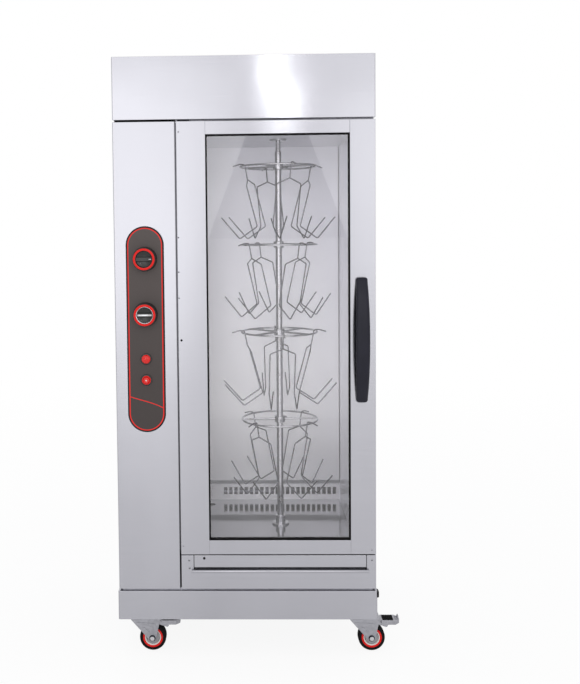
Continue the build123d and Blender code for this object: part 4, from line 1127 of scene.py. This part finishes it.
class DressCasters(bpy.types.Operator):
    """Swivel casters: plates, yokes, wheels with red rings, brake pedals"""

    bl_idname = "rotisserie.casters"
    bl_label = "Casters"

    def execute(self, context):
        folded(("caster_plates",), "_pressed", 0.8 * MM, zinc_plate, "cabinet", "zinc_steel")
        for corner in CORNERS:
            self.wheel(corner)
            self.yoke(corner, corner.startswith("front"))
        return {"FINISHED"}

    def wheel(self, corner):
        node = "caster_wheel_" + corner
        centre = middle(node)
        place = (centre.x, centre.y, AXLE_HEIGHT)
        for piece, maker, slot, points in WHEEL_PIECES:
            profile = two_faced(span(node).y / 2, offsets(0.0, 0.0, *points))
            replaced = (node,) if piece == "tyre" else ()
            settle("wheel_%s_%s" % (piece, corner), turned(profile, place, BACK, 72, ring=True),
                   maker, "wheel_" + corner, slot, *replaced)

    def yoke(self, corner, braked):
        """Two cheeks with pressed ribs, a crown, the kingpin with its race, and the axle."""
        node, body = "caster_fork_" + corner, "swivel_" + corner
        low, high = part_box(node)
        y, king_x = (low.y + high.y) / 2, low.x + KING_IN
        king, axle = (king_x, y, 0.0), (king_x + TRAIL, y, AXLE_HEIGHT)
        top, inside, sheet = YOKE_TOP, 17 * MM, 2.6 * MM
        face = inside + sheet
        cheek = hull_outline(
            discs(axle[0], AXLE_HEIGHT, (0, 0, 11, 40))
            + discs(king_x, top, (-20, -2, 2, 16), (-19, -6, 3, 16))
            + discs(high.x, top, (-2, -2, 2, 16), (-3, -6, 3, 16)))
        parts = [plate_mesh(cheek, y + side * inside, y + side * face, 0.6) for side in SIDES]
        crown = rectangle(low.x + 0.5 * MM, top - sheet, high.x - 0.5 * MM, top)
        parts.append(plate_mesh(crown, y - inside - 0.2 * MM, y + inside + 0.2 * MM, 0.5))
        parts.append(turned(
            offsets(0.0, top, (0, 0), (23, 0), (23, 3.5), (19.5, 8), (6, 8))
            + offsets(0.0, high.z, (6, 0), (0, 0)), king, UP, 48))
        parts.append(turned(
            offsets(0.0, top, (18, -5), (25, -5), (27, -3.4), (27, -0.6), (25.4, 0.6), (18, 0.6)),
            king, UP, 48, ring=True))
        rib = hull_outline(discs(king_x, top, (-6, -17, 2.2, 16), (52, -21, 2.2, 16)))
        lobe = hull_outline(discs(king_x, top, (17, -34, 3.4, 20), (32, -47, 2.6, 20)))
        for side in SIDES:
            start = y + side * (face - 0.2 * MM)
            parts += [plate_mesh(pressed, start, start + side * 1.6 * MM, 0.7)
                      for pressed in (rib, lobe)]
        washer = offsets(0.0, face, (0, 0), (9.8, 0), (9.8, 0.7), (9.2, 1.1), (0, 1.1))
        bolt = offsets(0.0, face, (0, 0), (7.5, 0), (7.5, 4), (6.6, 5), (3.6, 5), (0, 5))
        washers, bolts = [joined(*[turned(profile, axle, (0, side, 0), steps) for side in SIDES])
                          for profile, steps in ((washer, 32), (bolt, 6))]
        settle("axle_washers_" + corner, washers, black_moulding, body, "black_plastic")
        settle("axle_bolts_" + corner, bolts, bright_rod, body, "bright_wire", smooth=False)
        parts.append(pin(4.5 * MM, inside, axle, 24))
        if braked:
            hinge = (king_x + 47 * MM, y, top - 10 * MM)
            parts.append(pin(2.5 * MM, face + 0.2 * MM, hinge, 20))
            self.pedal(corner, hinge)
        settle("yoke_" + corner, joined(*parts), zinc_plate, body, "zinc_steel", node)

    def pedal(self, corner, hinge):
        """The pressed tread, a ribbed rubber pad on it and the raised release tab at its nose."""
        node, body = "brake_pedal_" + corner, "brake_" + corner
        low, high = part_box(node)
        y, top = (low.y + high.y) / 2, PEDAL_TOP
        tab = offsets(high.x, top, (-13, 0), (-5, 0), (-2, 8), (-4, 8), (-6.4, 2), (-13, 2))
        tabs = [plate_mesh(tab, y + side * 4 * MM, y + side * 9 * MM, 0.5) for side in SIDES]
        bridge = plate_mesh(offsets(high.x, top, (-4.6, 5), (-3, 5), (-2, 8), (-4, 8)),
                            y - 8.6 * MM, y + 8.6 * MM, 0.4)
        arm = hull_outline(discs(hinge[0], hinge[2], (0, -2, 6, 24), (42, -16, 6, 24)))
        shoes = [plate_mesh(arm, y + side * 11 * MM, y + side * 14 * MM, 0.8) for side in SIDES]
        settle("pedal_" + corner, joined(softened(node, MM), bridge, *tabs, *shoes), zinc_plate,
               body, "zinc_steel", node, smooth=False)
        start, rib_pitch = low.x + 35 * MM, 5.5 * MM
        layers = [(16 * MM, offsets(start, top, *rectangle(0, 0, 33, 1.2)))]
        layers += [(15 * MM, offsets(start + count * rib_pitch, top,
                                     (1, 1), (4.5, 1), (4, 2.6), (1.5, 2.6))) for count in range(6)]
        pad = joined(*[plate_mesh(outline, y - half, y + half, 0.4) for half, outline in layers])
        settle("pedal_pad_" + corner, pad, soft_rubber, body, "black_rubber", smooth=False)


def on_front(face, *spots):
    """Marks that face forwards, at widths and heights in millimetres."""
    return [((x * MM, face, z * MM), FRONT) for x, z in spots]


class DressFixings(bpy.types.Operator):
    """Screws, plugs, louvre hoods, cable gland and the small bumper"""

    bl_idname = "rotisserie.fixings"
    bl_label = "Fixings"

    def execute(self, context):
        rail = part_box("lower_front_rail")[0].y
        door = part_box("door_left_stile")[0].y
        head, recess = screw_shape()
        marks = self.cabinet_marks(rail)
        for piece, shape, maker in (("cabinet_screws", head, zinc_plate),
                                    ("cabinet_screw_slots", recess, soft_rubber)):
            settle(piece, set_out(shape, marks, sizes().screw_head, maker), maker, "cabinet",
                   "zinc_steel")
        screws = set_out(head, on_front(door, (377, 331), (-193, 1592), (-193, 344)), 5.5 * MM,
                         zinc_plate)
        settle("door_screws", screws, zinc_plate, "door", "zinc_steel")
        plugs = on_front(door, *[(-196.5, z) for z in (1279, 1176, 1098)])
        for piece, body, marks, size in (
                ("door_plugs", "door", plugs, 4),
                ("door_catch_plug", "door", on_front(door, (-191, 971)), 7),
                ("drawer_plug", "drawer", on_front(rail, (-130, 306)), 8)):
            settle(piece, set_out(head, marks, size * MM, soft_rubber), soft_rubber, body,
                   "black_rubber")
        self.louvres()
        self.gland()
        self.bumper()
        return {"FINISHED"}

    def cabinet_marks(self, rail):
        """Places and facings of the screws in the lower rail, the side panels and the back."""
        low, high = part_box("right_side_panel")
        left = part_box("left_side_panel")[0].x
        back_low, back_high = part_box("back_panel")
        gap = (high.z - low.z - 80 * MM) / 5
        rows = [low.z + 40 * MM + row * gap for row in range(6)]
        sides = [((x, y, z), way) for z in rows for y in (low.y + 25 * MM, high.y - 25 * MM)
                 for x, way in ((high.x, RIGHT), (left, LEFT))]
        backs = [((x, back_high.y, z), BACK) for z in rows
                 for x in (back_low.x + 16 * MM, back_high.x - 16 * MM)]
        return on_front(rail, (-176, 300), (-175, 276), (377, 300)) + sides + backs

    def louvres(self):
        """Five hoods behind the header and five behind the drawer."""
        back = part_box("back_panel")[1].y
        marks = [((0.0, back, centre + row * 18 * MM), BACK)
                 for centre in (middle("header_cap").z, 330 * MM) for row in range(-2, 3)]
        hood = hood_shape(196 * MM, 6 * MM, sizes().louvre_reach)
        settle("louvre_hoods", set_out(hood, marks, 1.0, satin_sheet), satin_sheet, "cabinet",
               "satin_steel")

    def gland(self):
        """A gland with an empty bore: a hexagon and a cap nut outside, a hexagon inside."""
        low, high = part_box("cable_gland")
        place = ((low.x + high.x) / 2, 0.0, (low.z + high.z) / 2)
        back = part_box("back_panel")[1].y
        flange = offsets(0.0, back, (6.5, 0), (16, 0), (16.5, 0.6), (16.5, 5.2), (15.4, 6),
                         (6.5, 6))
        nut = (offsets(0.0, back, (6.5, 6), (14.5, 6), (14.5, 16), (12.5, 20))
               + offsets(0.0, high.y, (9, 0), (6.5, 0)))
        inner = (offsets(0.0, low.y, (6.5, 0), (16, 0))
                 + offsets(0.0, back, (16, -2), (12.4, -2), (12.4, 0), (6.5, 0)))
        parts = [turned(profile, place, BACK, steps, ring=True)
                 for profile, steps in ((flange, 6), (nut, 40), (inner, 6))]
        settle("inlet_gland", joined(*parts), black_moulding, "cabinet", "black_plastic",
               "cable_gland")

    def bumper(self):
        low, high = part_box("plinth")
        outline = offsets(high.x, 0.0, (0, 184), (5, 186), (5, 203), (0, 205))
        pad = plate_mesh(outline, low.y + 2 * MM, low.y + 22 * MM, 1.2, 3)
        settle("side_bumper", pad, soft_rubber, "cabinet", "black_rubber")


SOFTBOXES = (
    # name, place, lean and turn in degrees, width, height, and glow against the white surround
    ("left_softbox", (-0.784, -3.3, 1.487), 20.7, 0.0, 1.2, 1.656, 0.98),
    ("right_softbox", (1.141, -3.3, 1.736), -20.5, 0.0, 1.2, 1.121, 0.85),
    ("bounce_panel", (0.15, -3.4, 2.66), 0.0, 0.0, 4.0, 1.2, 0.50),
    ("low_fill", (0.2, -3.36, 0.66), 0.0, 0.0, 3.2, 1.2, 0.30),
    ("header_lamp", (0.25, -3.3, 2.34), 0.0, 0.0, 0.14, 0.80, 5.0),
    ("rear_softbox", (-0.55, 3.4, 1.75), -18.0, 180.0, 1.2, 1.7, 0.85),
    ("right_side_softbox", (3.4, -0.35, 1.75), -18.0, 90.0, 1.2, 1.7, 0.85),
    ("left_side_softbox", (-3.4, 0.35, 1.75), -18.0, -90.0, 1.2, 1.7, 0.85),
)


class DressStage(bpy.types.Operator):
    """Pale floor, soft boxes, white surround and the camera"""

    bl_idname = "rotisserie.stage"
    bl_label = "Stage"

    def execute(self, context):
        scene = context.scene
        scene.view_settings.view_transform = "Standard"
        self.floor()
        self.surround(scene)
        self.lights()
        self.camera(scene)
        return {"FINISHED"}

    def floor(self):
        """A floor that is pale in the view and in mirrors, and takes soft shadows. Its white glow is
        weaker near the cabinet, a painted shade round it that is strongest in mirrors.
        """
        shape = bmesh.new()
        bmesh.ops.create_grid(shape, x_segments=2, y_segments=2, size=14.0)
        mesh = mesh_of(shape, "floor")
        finish = Finish("pale_floor")
        seen, glossy, clear = finish.rays()
        lit = finish.add("ShaderNodeBsdfDiffuse", {"Color": colours().floor})
        glow = finish.add("ShaderNodeEmission", {"Color": WHITE, "Strength": 1.0})
        reach = finish.add("ShaderNodeVectorMath", {0: finish.place}, "Value", operation="LENGTH")
        # painted shade: in mirrors the floor's glow falls from 0.96 far off to 0.50 near the cabinet
        mirrored = glossy.at_least(clear) * finish.step(reach, 0.5, 2.5, 0.50, 0.96)
        # in the view the glow falls from 1.0 far off to 0.90 near the cabinet, where the lit floor
        # with its shadows shows through
        share = (seen * finish.step(reach, 1.2, 5.0, 0.90, 1.0)).at_least(mirrored)
        shader = finish.add("ShaderNodeMixShader", {0: share, 1: lit, 2: glow})
        mesh.materials.append(finish.close(shader))
        linked("studio_floor", mesh)

    def surround(self, scene):
        """White where it is seen or mirrored, and a soft grey that pales upwards as a light."""
        world = bpy.data.worlds.new("surround")
        world.use_nodes = True
        scene.world = world
        sheet = NodeSheet(world.node_tree)
        sheet.tree.nodes.clear()
        height = sheet.part(sheet.add("ShaderNodeTexCoord", output="Generated"), "Z")
        tone = sheet.add("ShaderNodeValToRGB", {0: height * 0.5 + 0.5}, stops=(
            (0.0, (0.30, 0.30, 0.31, 1.0)), (0.47, (0.42, 0.42, 0.43, 1.0)),
            (0.56, (0.62, 0.62, 0.63, 1.0)), (1.0, (0.80, 0.80, 0.81, 1.0))))
        soft = sheet.add("ShaderNodeBackground", {"Color": tone, "Strength": 1.35})
        white = sheet.add("ShaderNodeBackground", {"Color": WHITE, "Strength": 1.0})
        seen, glossy, clear = sheet.rays()
        share = (seen + glossy + clear).at_most(1.0)
        shader = sheet.add("ShaderNodeMixShader", {0: share, 1: soft, 2: white})
        sheet.add("ShaderNodeOutputWorld", {"Surface": shader})

    def lights(self):
        for name, place, lean, turn, width, height, glow in SOFTBOXES:
            light = bpy.data.lights.new(name, "AREA")
            light.shape = "RECTANGLE"
            light.size = width
            light.size_y = height
            light.energy = glow * math.pi * width * height
            lamp = linked(name, light)
            lamp.location = place
            lamp.rotation_euler = [math.radians(angle) for angle in (90.0, lean, turn)]

    def camera(self, scene):
        stage = scene.rotisserie_stage
        yaw, pitch, roll = stage.yaw, stage.pitch, stage.roll
        level = math.cos(pitch)
        ahead = Vector((math.sin(yaw) * level, math.cos(yaw) * level, math.sin(pitch)))
        right = Vector((math.cos(yaw), -math.sin(yaw), 0.0))
        up = right.cross(ahead)
        across = math.cos(roll) * right + math.sin(roll) * up
        upward = math.cos(roll) * up - math.sin(roll) * right
        lens = bpy.data.cameras.new("photo_camera")
        lens.sensor_width = 36.0
        lens.lens = stage.lens
        lens.shift_x, lens.shift_y = stage.shift
        lens.clip_end = 100.0
        camera = linked("photo_camera", lens)
        turn = Matrix((across, upward, -ahead)).transposed().to_4x4()
        camera.matrix_world = Matrix.Translation(stage.place) @ turn
        scene.camera = camera


STEPS = (DressCabinet, DressChamber, DressRotor, DressDoor, DressDrawer, DressControls,
         DressCasters, DressFixings, DressStage)


class RotisseriePanel(bpy.types.Panel):
    """Lists the steps that dress the cabinet"""

    bl_idname = "VIEW3D_PT_rotisserie"
    bl_label = "Rotisserie"
    bl_space_type = "VIEW_3D"
    bl_region_type = "UI"
    bl_category = "Rotisserie"

    def draw(self, context):
        for step in STEPS:
            self.layout.operator(step.bl_idname, text=step.bl_label)
        for group in (context.scene.rotisserie_sizes, context.scene.rotisserie_finishes,
                      context.scene.rotisserie_stage):
            column = self.layout.column()
            for name in group.bl_rna.properties.keys():
                if name not in ("name", "rna_type"):
                    column.prop(group, name)


CLASSES = (RotisserieSizes, RotisserieFinishes, RotisserieStage) + STEPS + (RotisseriePanel,)


def register():
    for part in CLASSES:
        bpy.utils.register_class(part)
    bpy.types.Scene.rotisserie_sizes = bpy.props.PointerProperty(type=RotisserieSizes)
    bpy.types.Scene.rotisserie_finishes = bpy.props.PointerProperty(type=RotisserieFinishes)
    bpy.types.Scene.rotisserie_stage = bpy.props.PointerProperty(type=RotisserieStage)


def unregister():
    del bpy.types.Scene.rotisserie_stage
    del bpy.types.Scene.rotisserie_finishes
    del bpy.types.Scene.rotisserie_sizes
    for part in reversed(CLASSES):
        bpy.utils.unregister_class(part)


def main():
    register()
    for step in STEPS:
        group, name = step.bl_idname.split(".")
        getattr(getattr(bpy.ops, group), name)()


if __name__ == "__main__":
    main()
